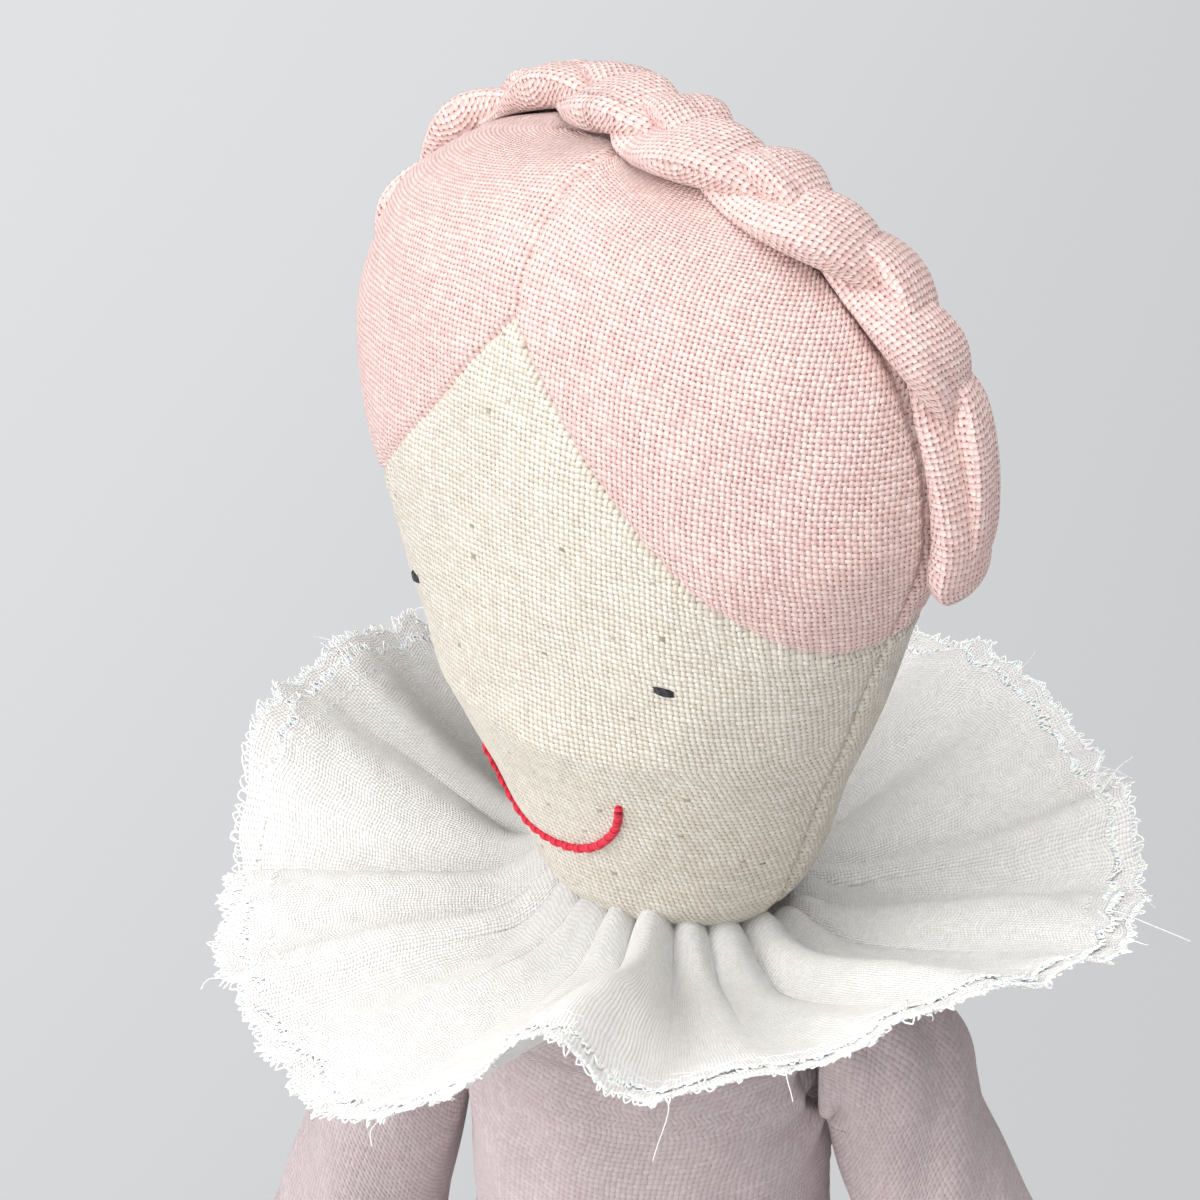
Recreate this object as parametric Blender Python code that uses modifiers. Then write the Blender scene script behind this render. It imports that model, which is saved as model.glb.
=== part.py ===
"""A sewn linen rag doll, sitting upright with its legs stretched out in front.

Metres, +Z up. The doll faces -Y and its left side is at +X. The origin lies under the
seat, on the surface that the doll sits on. The head is turned to its right, on a neck
that turns in the torso and nods under the chin.
"""

import math

import bmesh
import bpy
import numpy as np
from mathutils import Matrix, Vector

# Clearances and cloth
GAP = 0.0003
CLOTH = 0.0010
SEAT_FLAT = 0.0005
CUT_OVERRUN = 0.004
MERGE_DISTANCE = 0.00003

# Head
HEAD_HEIGHT = 0.096
HEAD_HALF_WIDTH = 0.0421
HEAD_FRONT_DEPTH = 0.0236
HEAD_BACK_DEPTH = 0.0217
HEAD_WIDEST_HEIGHT = 0.0616
HEAD_DEEPEST_HEIGHT = 0.0324
CHIN_ROUNDING = 0.008
CHIN_WIDTH_SHARE = 0.367
CHIN_DEPTH_SHARE = 0.572
CHIN_SEAM_SHARE = 0.6
CROWN_WIDTH_POWER = 2.37
CROWN_DEPTH_POWER = 3.1
TAPER_SOFTNESS_SHARE = 0.1
TAPER_WIDTH_POWER = 0.875
TAPER_DEPTH_POWER = 0.71
HAIRLINE_PEAK_HEIGHT = 0.0822
HAIRLINE_SIDE_HEIGHT = 0.046
HAIRLINE_HALF_WIDTH = 0.038
HAIRLINE_POWER = 1.2
SEAM_GAP = 0.0004
HEAD_AROUND = 24
HEAD_ALONG = 14

# How the head sits at rest
HEAD_TURN = math.radians(-34.0)
HEAD_NOD = math.radians(2.6)
HEAD_TILT = math.radians(-2.4)
CHIN_HEIGHT = 0.151
NECK_SIDE_OFFSET = 0.003
NECK_RADIUS = 0.009
NECK_SWELL = 0.0006
NECK_FOOT_ROUNDING = 0.0012
NECK_DOME_HEIGHT = 0.0023
NECK_DOME_POWER = 1.2

# Face stitches
THREAD_RADIUS = 0.0006
EYE_SIDE = 0.0202
EYE_HEIGHT = 0.0433
EYE_LENGTH = 0.0022
EYE_THREAD_RADIUS = 0.0005
SMILE_HALF_WIDTH = 0.013
SMILE_SIDE_OFFSET = -0.0015
SMILE_LOW_HEIGHT = 0.0138
SMILE_RISE = 0.011

# Braid
BRAID_END_HEIGHT = 0.0545
BRAID_BEHIND_SEAM = 0.0040
BRAID_CROWN_SHIFT = 0.0035
BRAID_CROWN_SHARE = 0.58
BRAID_RIGHT_SHIFT = 0.0035
BRAID_RIGHT_SHARE = 0.36
BRAID_REACH_SHARE = 0.13
BRAID_PERIOD = 0.0456
BRAID_STEADY_LENGTH = 0.119
BRAID_SLOW_SHARE = 0.3
BRAID_START_TURN = math.radians(-89.0)
BRAID_LIFT = 0.0036
BRAID_SWING = 0.0050
BRAID_WEAVE_HEIGHT = 0.0022
STRAND_WIDTH = 0.0052
STRAND_THICKNESS = 0.0026
STRAND_END_LENGTH = 0.004
STRANDS = 3

# Torso
TORSO_HEIGHT = 0.142
TORSO_HIP_HALF_WIDTH = 0.028
TORSO_CHEST_HALF_WIDTH = 0.0204
TORSO_HIP_HALF_DEPTH = 0.0195
TORSO_CHEST_HALF_DEPTH = 0.0135

# Dress
DRESS_NECK_HALF_WIDTH = 0.0115
DRESS_NECK_HALF_DEPTH = 0.0108
DRESS_NECK_HEIGHT = 0.1434
DRESS_HEM_HALF_WIDTH = 0.040
DRESS_LAP_DEPTH = 0.056
DRESS_BACK_DEPTH = 0.036
DRESS_LAP_HEIGHT = 0.0262
DRESS_SIDE_HEM_HEIGHT = 0.004
DRESS_EASE = 0.0012
DRESS_FOLD_DEPTH = 0.0015
DRESS_FOLDS = 14
NECK_SLIT_LENGTH = 0.028
NECK_SLIT_WIDTH = 0.0010
BUTTON_RADIUS = 0.004
BUTTON_THICKNESS = 0.0018
BUTTON_BELOW_NECK = 0.0075
BUTTON_EDGE_SHARE = 0.2

# Arms
SHOULDER_SIDE = 0.0284
SHOULDER_HEIGHT = 0.132
LEFT_ARM_SPREAD = math.radians(18.0)
RIGHT_ARM_SPREAD = math.radians(12.0)
UPPER_ARM_LENGTH = 0.056
ARM_ABOVE_SHOULDER = 0.0035
UPPER_ARM_RADIUS = 0.0060
FOREARM_LENGTH = 0.062
FOREARM_RADIUS = 0.0060
WRIST_RADIUS = 0.0047
HAND_HALF_WIDTH = 0.0070
HAND_HALF_THICKNESS = 0.0046

# Sleeves
SLEEVE_TOP_RADIUS = 0.0086
SLEEVE_CUFF_RADIUS = 0.0108
SLEEVE_LENGTH = 0.033

# Legs
HIP_SIDE = 0.014
HIP_FRONT = 0.0143
HIP_HEIGHT = 0.005
LEG_SPLAY = math.radians(1.5)
THIGH_LENGTH = 0.092
THIGH_RADIUS = 0.0120
LOWER_LEG_LENGTH = 0.096
CALF_RADIUS = 0.0108
ANKLE_RADIUS = 0.0080
FOOT_HALF_WIDTH = 0.0098
FOOT_HALF_LENGTH = 0.0150
KNEE_HEIGHT = CALF_RADIUS - SEAT_FLAT

# A limb is pressed flat where it is sewn, so that it can fold there
SEWN_EDGE = 0.00035
ARM_PINCH = 0.018
LEG_PINCH = 0.025
HINGE_GAP = 0.00084

# Collar
COLLAR_GATHER_RADIUS = 0.0126
COLLAR_RIM_RADIUS = 0.055
COLLAR_GATHER_DROP = 0.0040
COLLAR_RIM_RISE = 0.0065
COLLAR_SADDLE = 0.0065
COLLAR_SADDLE_TURN = math.radians(-48.0)
COLLAR_SADDLE_POWER = 1.6
COLLAR_WAVE = 0.0018
COLLAR_WAVES = 9
COLLAR_LAYER_DROP = 0.0023
COLLAR_UPPER_SHORTER = 0.004
RUFFLE_CLOTH = 0.0008
BAND_THREAD_RADIUS = 0.0011

# Colours
NATURAL_LINEN = (0.84, 0.80, 0.70, 1.0)
PINK_LINEN = (0.80, 0.57, 0.54, 1.0)
MAUVE_LINEN = (0.50, 0.40, 0.42, 1.0)
WHITE_COTTON = (0.88, 0.88, 0.86, 1.0)
STUFFING_WHITE = (0.90, 0.89, 0.86, 1.0)
BLACK_THREAD = (0.03, 0.03, 0.035, 1.0)
RED_THREAD = (0.75, 0.03, 0.04, 1.0)
SHELL_WHITE = (0.86, 0.84, 0.80, 1.0)
CLOTH_ROUGHNESS = 0.9
THREAD_ROUGHNESS = 0.6
SHELL_ROUGHNESS = 0.3

FULL_TURN = 2 * math.pi


def clear_scene():
    for item in list(bpy.data.objects):
        bpy.data.objects.remove(item, do_unlink=True)


def new_collection(name, hidden=False):
    collection = bpy.data.collections.new(name)
    collection.hide_render = hidden
    bpy.context.scene.collection.children.link(collection)
    return collection


clear_scene()
DOLL = new_collection("rag_doll")
CUTTERS = new_collection("cutters", hidden=True)


def fabric(name, colour, roughness=CLOTH_ROUGHNESS):
    """One material for each kind of cloth or thread, made once."""
    material = bpy.data.materials.get(name)
    if material:
        return material
    material = bpy.data.materials.new(name)
    material.use_nodes = True
    shader = material.node_tree.nodes["Principled BSDF"]
    shader.inputs["Base Color"].default_value = colour
    shader.inputs["Roughness"].default_value = roughness
    shader.inputs["Metallic"].default_value = 0.0
    material.diffuse_color = colour
    return material


def natural_linen():
    return fabric("natural_linen", NATURAL_LINEN)


def pink_linen():
    return fabric("pink_linen", PINK_LINEN)


def mauve_linen():
    return fabric("mauve_linen", MAUVE_LINEN)


def white_cotton():
    return fabric("white_cotton", WHITE_COTTON)


def stuffing():
    return fabric("stuffing", STUFFING_WHITE)


def add_object(name, data, material=None, parent=None, collection=None):
    item = bpy.data.objects.new(name, data)
    (collection or DOLL).objects.link(item)
    if material:
        data.materials.append(material)
    if parent:
        item.parent = parent
    return item


def mesh_object(name, bm, material=None, parent=None, collection=None):
    """Turns a bmesh into a smooth-shaded object whose faces point outwards."""
    bmesh.ops.recalc_face_normals(bm, faces=bm.faces)
    closed = all(edge.is_manifold for edge in bm.edges)
    if closed and bm.calc_volume(signed=True) < 0:
        bmesh.ops.reverse_faces(bm, faces=bm.faces)
    mesh = bpy.data.meshes.new(name)
    bm.to_mesh(mesh)
    bm.free()
    mesh.shade_smooth()
    return add_object(name, mesh, material, parent, collection)


def add_pivot(name, location, turn=None):
    """An empty on a joint's axis, which carries the pieces that move there."""
    pivot = bpy.data.objects.new(name, None)
    DOLL.objects.link(pivot)
    pivot.matrix_world = Matrix.Translation(location) @ (turn or Matrix.Identity(4))
    bpy.context.view_layer.update()
    return pivot


def smooth_curve(x, stations, values):
    """The value at x on a smooth curve through the stations, which never overshoots them."""
    stations = np.asarray(stations, float)
    values = np.asarray(values, float)
    x = min(max(x, stations[0]), stations[-1])
    climbs = np.diff(values) / np.diff(stations)
    before, after = climbs[:-1], climbs[1:]
    same_way = before * after > 0
    total = np.where(same_way, before + after, 1)
    inner_slopes = np.where(same_way, 2 * before * after / total, 0)
    slopes = np.concatenate([climbs[:1], inner_slopes, climbs[-1:]])
    i = min(int(np.searchsorted(stations, x, side="right")) - 1, len(stations) - 2)
    span = stations[i + 1] - stations[i]
    t = (x - stations[i]) / span
    rise = t * t * (3 - 2 * t)
    lead = t * (1 - t) ** 2 * slopes[i] * span
    trail = t * t * (t - 1) * slopes[i + 1] * span
    return float(values[i] + (values[i + 1] - values[i]) * rise + lead + trail)


def ease(x, low, high):
    """0 below low, 1 above high, and a smooth step between."""
    t = min(max((x - low) / (high - low), 0.0), 1.0)
    return t * t * (3 - 2 * t)


def mapped_sphere(around, along, place):
    """A closed form: a unit sphere whose points are moved to place(share, angle)."""
    bm = bmesh.new()
    bmesh.ops.create_uvsphere(bm, u_segments=around, v_segments=along, radius=1)
    for vert in bm.verts:
        share = math.acos(max(-1.0, min(1.0, -vert.co.z))) / math.pi
        angle = math.atan2(vert.co.y, vert.co.x)
        vert.co = place(share, angle)
    return bm


def mapped_grid(columns, rows, place):
    """An open sheet: a flat grid whose points are moved to place(across, down), each 0 to 1."""
    bm = bmesh.new()
    bmesh.ops.create_grid(bm, x_segments=columns, y_segments=rows, size=1)
    for vert in bm.verts:
        vert.co = place((vert.co.x + 1) / 2, (vert.co.y + 1) / 2)
    bmesh.ops.remove_doubles(bm, verts=bm.verts, dist=MERGE_DISTANCE)
    return bm


def add_thickness(item, thickness, inward=True):
    solidify = item.modifiers.new("cloth", "SOLIDIFY")
    solidify.thickness = thickness
    solidify.offset = -1 if inward else 1
    solidify.use_even_offset = True
    return solidify


def cut(item, cutter, operation="DIFFERENCE"):
    boolean = item.modifiers.new(cutter.name, "BOOLEAN")
    boolean.operation = operation
    boolean.object = cutter
    boolean.solver = "EXACT"


def as_cutter(item):
    item.hide_render = True
    item.display_type = "WIRE"
    return item


def box_cutter(name, low, high, parent=None):
    low, high = Vector(low), Vector(high)
    bm = bmesh.new()
    size = high - low
    middle = (low + high) / 2
    scale = Matrix.Diagonal((size.x, size.y, size.z, 1))
    bmesh.ops.create_cube(bm, size=1, matrix=Matrix.Translation(middle) @ scale)
    return as_cutter(mesh_object(name, bm, parent=parent, collection=CUTTERS))


def side_cylinder_cutter(name, centre, radius, reach):
    """A cylinder along X, for an armhole."""
    bm = bmesh.new()
    turn = Matrix.Rotation(math.radians(90), 4, "Y")
    bmesh.ops.create_cone(
        bm,
        cap_ends=True,
        segments=24,
        radius1=radius,
        radius2=radius,
        depth=2 * reach,
        matrix=Matrix.Translation(centre) @ turn,
    )
    return as_cutter(mesh_object(name, bm, collection=CUTTERS))


def prism_cutter(name, outline, near, far, parent):
    """An outline in the XZ plane, pulled out along Y from near to far."""
    curve = bpy.data.curves.new(name, "CURVE")
    curve.dimensions = "2D"
    curve.fill_mode = "BOTH"
    curve.extrude = abs(far - near) / 2
    spline = curve.splines.new("POLY")
    spline.points.add(len(outline) - 1)
    for point, (x, z) in zip(spline.points, outline):
        point.co = (x, z, 0, 1)
    spline.use_cyclic_u = True
    flat = add_object(name + "_outline", curve, collection=CUTTERS)
    bpy.context.view_layer.update()
    graph = bpy.context.evaluated_depsgraph_get()
    mesh = bpy.data.meshes.new_from_object(flat.evaluated_get(graph))
    bpy.data.objects.remove(flat, do_unlink=True)
    bm = bmesh.new()
    bm.from_mesh(mesh)
    bpy.data.meshes.remove(mesh)
    bmesh.ops.remove_doubles(bm, verts=bm.verts, dist=MERGE_DISTANCE)
    stand_up = Matrix.Rotation(math.radians(90), 4, "X")
    bm.transform(Matrix.Translation((0, (near + far) / 2, 0)) @ stand_up)
    return as_cutter(mesh_object(name, bm, parent=parent, collection=CUTTERS))


# Head surface, in the head's own frame: the chin at 0, the face towards -Y


def swelling(height, full, widest, crown_power, foot_share, taper_power):
    """Half the head's width or depth at a height: a round crown over a tapering face."""
    if height >= widest:
        rise = (height - widest) / (HEAD_HEIGHT - widest)
        return full * max(0.0, 1 - rise**crown_power) ** (1 / crown_power)
    soft = TAPER_SOFTNESS_SHARE
    fall = math.hypot((widest - height) / widest, soft) - soft
    fall = fall / (math.hypot(1, soft) - soft)
    return full * (1 - (1 - foot_share) * fall**taper_power)


def chin_rounding(height):
    if height >= CHIN_ROUNDING:
        return 1.0
    drop = (CHIN_ROUNDING - height) / CHIN_ROUNDING
    return math.sqrt(1 - drop**2 * (1 - CHIN_SEAM_SHARE**2))


def head_half_width(height):
    width = swelling(
        height, HEAD_HALF_WIDTH, HEAD_WIDEST_HEIGHT, CROWN_WIDTH_POWER, CHIN_WIDTH_SHARE, TAPER_WIDTH_POWER
    )
    return width * chin_rounding(height)


def head_depth(height, full):
    depth = swelling(
        height, full, HEAD_DEEPEST_HEIGHT, CROWN_DEPTH_POWER, CHIN_DEPTH_SHARE, TAPER_DEPTH_POWER
    )
    return depth * chin_rounding(height)


def head_place(share, angle):
    if share in (0.0, 1.0):
        return Vector((0, 0, share * HEAD_HEIGHT))
    height = HEAD_HEIGHT * (1 - math.cos(math.pi * share)) / 2
    full = HEAD_FRONT_DEPTH if math.sin(angle) < 0 else HEAD_BACK_DEPTH
    x = head_half_width(height) * math.cos(angle)
    y = head_depth(height, full) * math.sin(angle)
    return Vector((x, y, height))


def head_form(inset):
    """The head's outer form, moved inwards by inset."""
    bm = mapped_sphere(HEAD_AROUND, HEAD_ALONG, head_place)
    bmesh.ops.remove_doubles(bm, verts=bm.verts, dist=MERGE_DISTANCE)
    bmesh.ops.recalc_face_normals(bm, faces=bm.faces)
    bm.normal_update()
    moved = [vert.co - vert.normal * inset for vert in bm.verts]
    for vert, place in zip(bm.verts, moved):
        vert.co = place
    return bm


def face_point(x, height):
    """The point on the front of the head at x and a height."""
    across = min(abs(x) / head_half_width(height), 1.0)
    depth = head_depth(height, HEAD_FRONT_DEPTH)
    return Vector((x, -depth * math.sqrt(1 - across**2), height))


def head_reach(point):
    """1 on the head's surface, less inside it and more outside."""
    across = point.x / head_half_width(point.z)
    deep = point.y / head_depth(point.z, HEAD_FRONT_DEPTH if point.y < 0 else HEAD_BACK_DEPTH)
    return across**2 + deep**2


def head_normal(point):
    """The direction out of the head at a point of its surface."""
    here = head_reach(point)
    steps = [Vector(axis) * -GAP for axis in ((1, 0, 0), (0, 1, 0), (0, 0, 1))]
    return Vector([here - head_reach(point + step) for step in steps]).normalized()


def on_face(x, height, lift):
    """A point that far above the front of the head."""
    point = face_point(x, height)
    return point + head_normal(point) * lift


def hairline(x):
    away = min(abs(x) / HAIRLINE_HALF_WIDTH, 1.0)
    rise = HAIRLINE_PEAK_HEIGHT - HAIRLINE_SIDE_HEIGHT
    return HAIRLINE_SIDE_HEIGHT + rise * (1 - away) ** HAIRLINE_POWER


def hairline_points(start, end, shift, count=9):
    xs = np.linspace(start, end, count)
    return [(float(x), hairline(x) + shift) for x in xs]


def make_head_stuffing(pivot):
    bm = head_form(CLOTH + GAP)
    return mesh_object("head_stuffing", bm, stuffing(), pivot)


def head_panel(name, outline, near, far, material, pivot):
    """A piece of the head's cloth: the part of the shell inside an outline."""
    panel = mesh_object(name, head_form(0), material, pivot)
    inner = as_cutter(mesh_object(name + "_inside", head_form(CLOTH), None, pivot, CUTTERS))
    region = prism_cutter(name + "_region", outline, near, far, pivot)
    cut(panel, inner)
    cut(panel, region, "INTERSECT")
    return panel


def make_head_panels(pivot):
    reach = HEAD_HALF_WIDTH + CUT_OVERRUN
    top = HEAD_HEIGHT + CUT_OVERRUN
    bottom = -CUT_OVERRUN
    half = SEAM_GAP / 2
    front = (-half, -HEAD_FRONT_DEPTH - CUT_OVERRUN)
    back = (half, HEAD_BACK_DEPTH + CUT_OVERRUN)

    face = [(-reach, bottom), (reach, bottom)]
    face += hairline_points(reach, half, -half)
    face += hairline_points(-half, -reach, -half)
    head_panel("face_panel", face, *front, natural_linen(), pivot)

    for side, name in ((1, "hair_panel_left"), (-1, "hair_panel_right")):
        hair = hairline_points(side * half, side * reach, half)
        hair += [(side * reach, top), (side * half, top)]
        head_panel(name, hair, *front, pink_linen(), pivot)

    split = HAIRLINE_SIDE_HEIGHT
    nape = [(-reach, bottom), (reach, bottom), (reach, split - half), (-reach, split - half)]
    hair_back = [(-reach, split + half), (reach, split + half), (reach, top), (-reach, top)]
    head_panel("nape_panel", nape, *back, natural_linen(), pivot)
    head_panel("hair_panel_back", hair_back, *back, pink_linen(), pivot)


def thread(name, points, radii, material, parent):
    """A stitched thread: a bevelled curve whose thickness follows the radii."""
    curve = bpy.data.curves.new(name, "CURVE")
    curve.dimensions = "3D"
    curve.bevel_depth = 1
    curve.bevel_resolution = 1
    curve.use_fill_caps = True
    spline = curve.splines.new("POLY")
    spline.points.add(len(points) - 1)
    for point, place, radius in zip(spline.points, points, radii):
        point.co = (*place, 1)
        point.radius = radius
    return add_object(name, curve, material, parent)


def make_eyes(pivot):
    black = fabric("black_thread", BLACK_THREAD, THREAD_ROUGHNESS)
    lift = EYE_THREAD_RADIUS + GAP
    for side, name in ((1, "eye_stitch_left"), (-1, "eye_stitch_right")):
        points = []
        for share in (-0.5, -0.3, 0, 0.3, 0.5):
            x = side * EYE_SIDE + share * EYE_LENGTH
            points.append(on_face(x, EYE_HEIGHT, lift))
        end_share = 0.4
        radii = [EYE_THREAD_RADIUS * s for s in (end_share, 1, 1, 1, end_share)]
        thread(name, points, radii, black, pivot)


def make_mouth(pivot):
    red = fabric("red_thread", RED_THREAD, THREAD_ROUGHNESS)
    lift = THREAD_RADIUS + GAP
    points = []
    for share in np.linspace(-1, 1, 15):
        x = SMILE_SIDE_OFFSET + float(share) * SMILE_HALF_WIDTH
        height = SMILE_LOW_HEIGHT + SMILE_RISE * float(share) ** 2
        points.append(on_face(x, height, lift))
    thread("mouth_stitch", points, [THREAD_RADIUS] * len(points), red, pivot)


# Braid over the crown, just behind the side seam


def braid_arch():
    """Points on the head along the braid's middle, from the right ear over the crown to the left."""
    points = []
    for share in np.linspace(0, 1, 121):
        height = BRAID_END_HEIGHT + (HEAD_HEIGHT - BRAID_END_HEIGHT) * math.sin(math.pi * share)
        off_crown = (share - BRAID_CROWN_SHARE) / BRAID_REACH_SHARE
        off_right = (share - BRAID_RIGHT_SHARE) / BRAID_REACH_SHARE
        behind = BRAID_BEHIND_SEAM - BRAID_CROWN_SHIFT * math.exp(-(off_crown**2))
        behind += BRAID_RIGHT_SHIFT * math.exp(-(off_right**2))
        depth = head_depth(height, HEAD_BACK_DEPTH)
        if depth > behind:
            across = head_half_width(height) * math.sqrt(1 - (behind / depth) ** 2)
            points.append((math.copysign(across, share - 1 / 2), behind, height))
    return np.array(points)


def point_along(arch, share):
    """The point at a share of the arch's length, and that length."""
    steps = np.linalg.norm(np.diff(arch, axis=0), axis=1)
    along = np.concatenate([[0], np.cumsum(steps)])
    spot = [np.interp(share * along[-1], along, arch[:, i]) for i in range(3)]
    return Vector(spot), float(along[-1])


def strand_turn(strand, run):
    """How far a strand has gone round its plait. It slows down where the braid's end is tied."""
    steady = min(run, BRAID_STEADY_LENGTH) + BRAID_SLOW_SHARE * max(run - BRAID_STEADY_LENGTH, 0.0)
    return BRAID_START_TURN + FULL_TURN * (steady / BRAID_PERIOD - strand / STRANDS)


def strand_place(strand, arch):
    """Where a point of one strand lies: it swings aside and weaves over and under."""

    def place(share, angle):
        spot, length = point_along(arch, share)
        out = head_normal(spot)
        aside = Vector((0, 1, 0))
        aside = (aside - out * aside.dot(out)).normalized()
        turn = strand_turn(strand, share * length)
        swing = BRAID_SWING * math.sin(turn)
        weave = BRAID_LIFT - BRAID_WEAVE_HEIGHT * math.sin(2 * turn)
        closing = rounded(min(share, 1 - share) * length, STRAND_END_LENGTH)
        sideways = STRAND_WIDTH / 2 * closing * math.cos(angle)
        outwards = STRAND_THICKNESS / 2 * closing * math.sin(angle)
        return spot + aside * (swing + sideways) + out * (weave + outwards)

    return place


def make_braid(pivot):
    arch = braid_arch()
    for strand in range(STRANDS):
        bm = mapped_sphere(6, 54, strand_place(strand, arch))
        mesh_object(f"braid_strand_{strand + 1}", bm, pink_linen(), pivot)


# Neck and torso


def make_neck():
    """A short stuffed barrel with a domed top, on which the head can nod."""
    low = TORSO_HEIGHT + GAP
    high = CHIN_HEIGHT - GAP
    outline = []
    for share in np.linspace(0, 1, 5):
        outline.append((NECK_RADIUS * share, high - NECK_DOME_HEIGHT * share**NECK_DOME_POWER))
    outline += [
        (NECK_RADIUS + NECK_SWELL, (low + high) / 2),
        (NECK_RADIUS, low + NECK_FOOT_ROUNDING),
        (NECK_RADIUS - NECK_FOOT_ROUNDING, low),
        (0, low),
    ]
    bm = bmesh.new()
    verts = [bm.verts.new((x, 0, z - low)) for x, z in outline]
    for first, second in zip(verts, verts[1:]):
        bm.edges.new((first, second))
    mesh = bpy.data.meshes.new("neck")
    bm.to_mesh(mesh)
    bm.free()
    neck = add_object("neck", mesh, natural_linen())
    neck.location = (NECK_SIDE_OFFSET, 0, low)
    screw = neck.modifiers.new("turn", "SCREW")
    screw.steps = 20
    screw.render_steps = 20
    screw.use_merge_vertices = True
    screw.merge_threshold = MERGE_DISTANCE
    return neck


def torso_place(share, angle):
    """A stuffed body, full at the hips, narrow at the shoulders and flat under the seat."""
    seat_power = 1.35
    neck_start_share = 0.88
    up_share = ((1 - math.cos(math.pi * share)) / 2) ** seat_power
    height = (TORSO_HEIGHT + SEAT_FLAT) * up_share - SEAT_FLAT
    neck_shift = NECK_SIDE_OFFSET * ease(up_share, neck_start_share, 1)
    if share in (0.0, 1.0):
        return Vector((neck_shift, 0, height))
    station_shares = (0, 0.03, 0.12, 0.3, 0.62, 0.8, 0.92, 0.975, 1)
    hip_width_shares = (0.72, 0.88, 1, 0.96)
    hip_depth_shares = (0.5, 0.74, 0.9, 1)
    chest_width_shares = (1.02, 1, 1, 0.86, 0.5)
    chest_depth_shares = (1.12, 1, 0.88, 0.74, 0.6)
    widths = [TORSO_HIP_HALF_WIDTH * share for share in hip_width_shares]
    widths += [TORSO_CHEST_HALF_WIDTH * share for share in chest_width_shares]
    depths = [TORSO_HIP_HALF_DEPTH * share for share in hip_depth_shares]
    depths += [TORSO_CHEST_HALF_DEPTH * share for share in chest_depth_shares]
    width = smooth_curve(up_share, station_shares, widths)
    depth = smooth_curve(up_share, station_shares, depths)
    return Vector((neck_shift + width * math.cos(angle), depth * math.sin(angle), height))


def make_floor_cutter():
    reach = THIGH_LENGTH + LOWER_LEG_LENGTH + HIP_FRONT + FOOT_HALF_LENGTH + CUT_OVERRUN
    return box_cutter("floor_cutter", (-reach, -reach, -CUT_OVERRUN), (reach, reach, 0))


def make_torso(floor):
    torso = mesh_object("torso", mapped_sphere(20, 14, torso_place), natural_linen())
    cut(torso, floor)
    return torso


# Dress: a front and a back, sewn together at the sides, each an open sheet with thickness


def dress_half_width(share):
    chest = TORSO_CHEST_HALF_WIDTH + DRESS_EASE
    station_shares = (0, 0.02, 0.06, 0.28, 0.62, 1)
    chest_shares = (0.88, 1, 1)
    hem_shares = (0.78, 1)
    widths = [DRESS_NECK_HALF_WIDTH]
    widths += [chest * share for share in chest_shares]
    widths += [DRESS_HEM_HALF_WIDTH * share for share in hem_shares]
    return smooth_curve(share, station_shares, widths)


def dress_depth(share, hem_depth):
    chest = TORSO_CHEST_HALF_DEPTH + DRESS_EASE + CLOTH
    hips = TORSO_HIP_HALF_DEPTH + DRESS_EASE + CLOTH
    station_shares = (0, 0.03, 0.12, 0.3, 0.62, 0.82, 1)
    chest_shares = (0.84, 1, 1.1)
    depths = [DRESS_NECK_HALF_DEPTH]
    depths += [chest * share for share in chest_shares]
    depths += [hips, (hips + hem_depth) / 2, hem_depth]
    return smooth_curve(share, station_shares, depths)


def hem_height(angle):
    """The hem lies on the lap in front, and hangs low at the sides and the back."""
    if math.sin(angle) >= 0:
        return DRESS_SIDE_HEM_HEIGHT
    lap_edge_share, side_edge_share = 0.74, 0.96
    off_lap = ease(abs(math.cos(angle)), lap_edge_share, side_edge_share)
    return DRESS_LAP_HEIGHT + (DRESS_SIDE_HEM_HEIGHT - DRESS_LAP_HEIGHT) * off_lap


def dress_place(angle, share):
    neck_end_share = 0.12
    neck_roundness, hem_roundness = 0.8, 0.6
    hem_depth = DRESS_LAP_DEPTH if math.sin(angle) < 0 else DRESS_BACK_DEPTH
    fold = DRESS_FOLD_DEPTH * share**2 * math.cos(DRESS_FOLDS * angle)
    width = dress_half_width(share) + fold
    depth = dress_depth(share, hem_depth) + fold
    height = DRESS_NECK_HEIGHT + (hem_height(angle) - DRESS_NECK_HEIGHT) * share
    neck_shift = NECK_SIDE_OFFSET * (1 - ease(share, 0, neck_end_share))
    roundness = neck_roundness + (hem_roundness - neck_roundness) * share
    x = math.copysign(abs(math.cos(angle)) ** roundness, math.cos(angle)) * width
    y = math.sin(angle) * depth
    return Vector((x + neck_shift, y, height))


def make_dress(armholes):
    seam_angle = GAP / TORSO_CHEST_HALF_DEPTH
    shoulder_power = 1.5
    made = []
    for name, start in (("dress_front", math.pi), ("dress_back", 0.0)):

        def place(across, down, start=start):
            angle = start + seam_angle + across * (math.pi - 2 * seam_angle)
            return dress_place(angle, down**shoulder_power)

        half = mesh_object(name, mapped_grid(18, 9, place), mauve_linen())
        add_thickness(half, CLOTH)
        for armhole in armholes:
            cut(half, armhole)
        made.append(half)
    cut(made[1], make_neck_slit())
    return made


def make_neck_slit():
    """The opening at the back of the neck that lets the dress pass over the head."""
    low = DRESS_NECK_HEIGHT - NECK_SLIT_LENGTH
    high = DRESS_NECK_HEIGHT + CUT_OVERRUN
    half = NECK_SLIT_WIDTH / 2
    far = TORSO_HIP_HALF_DEPTH + CUT_OVERRUN
    return box_cutter("neck_slit", (-half, 0, low), (half, far, high))


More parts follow.
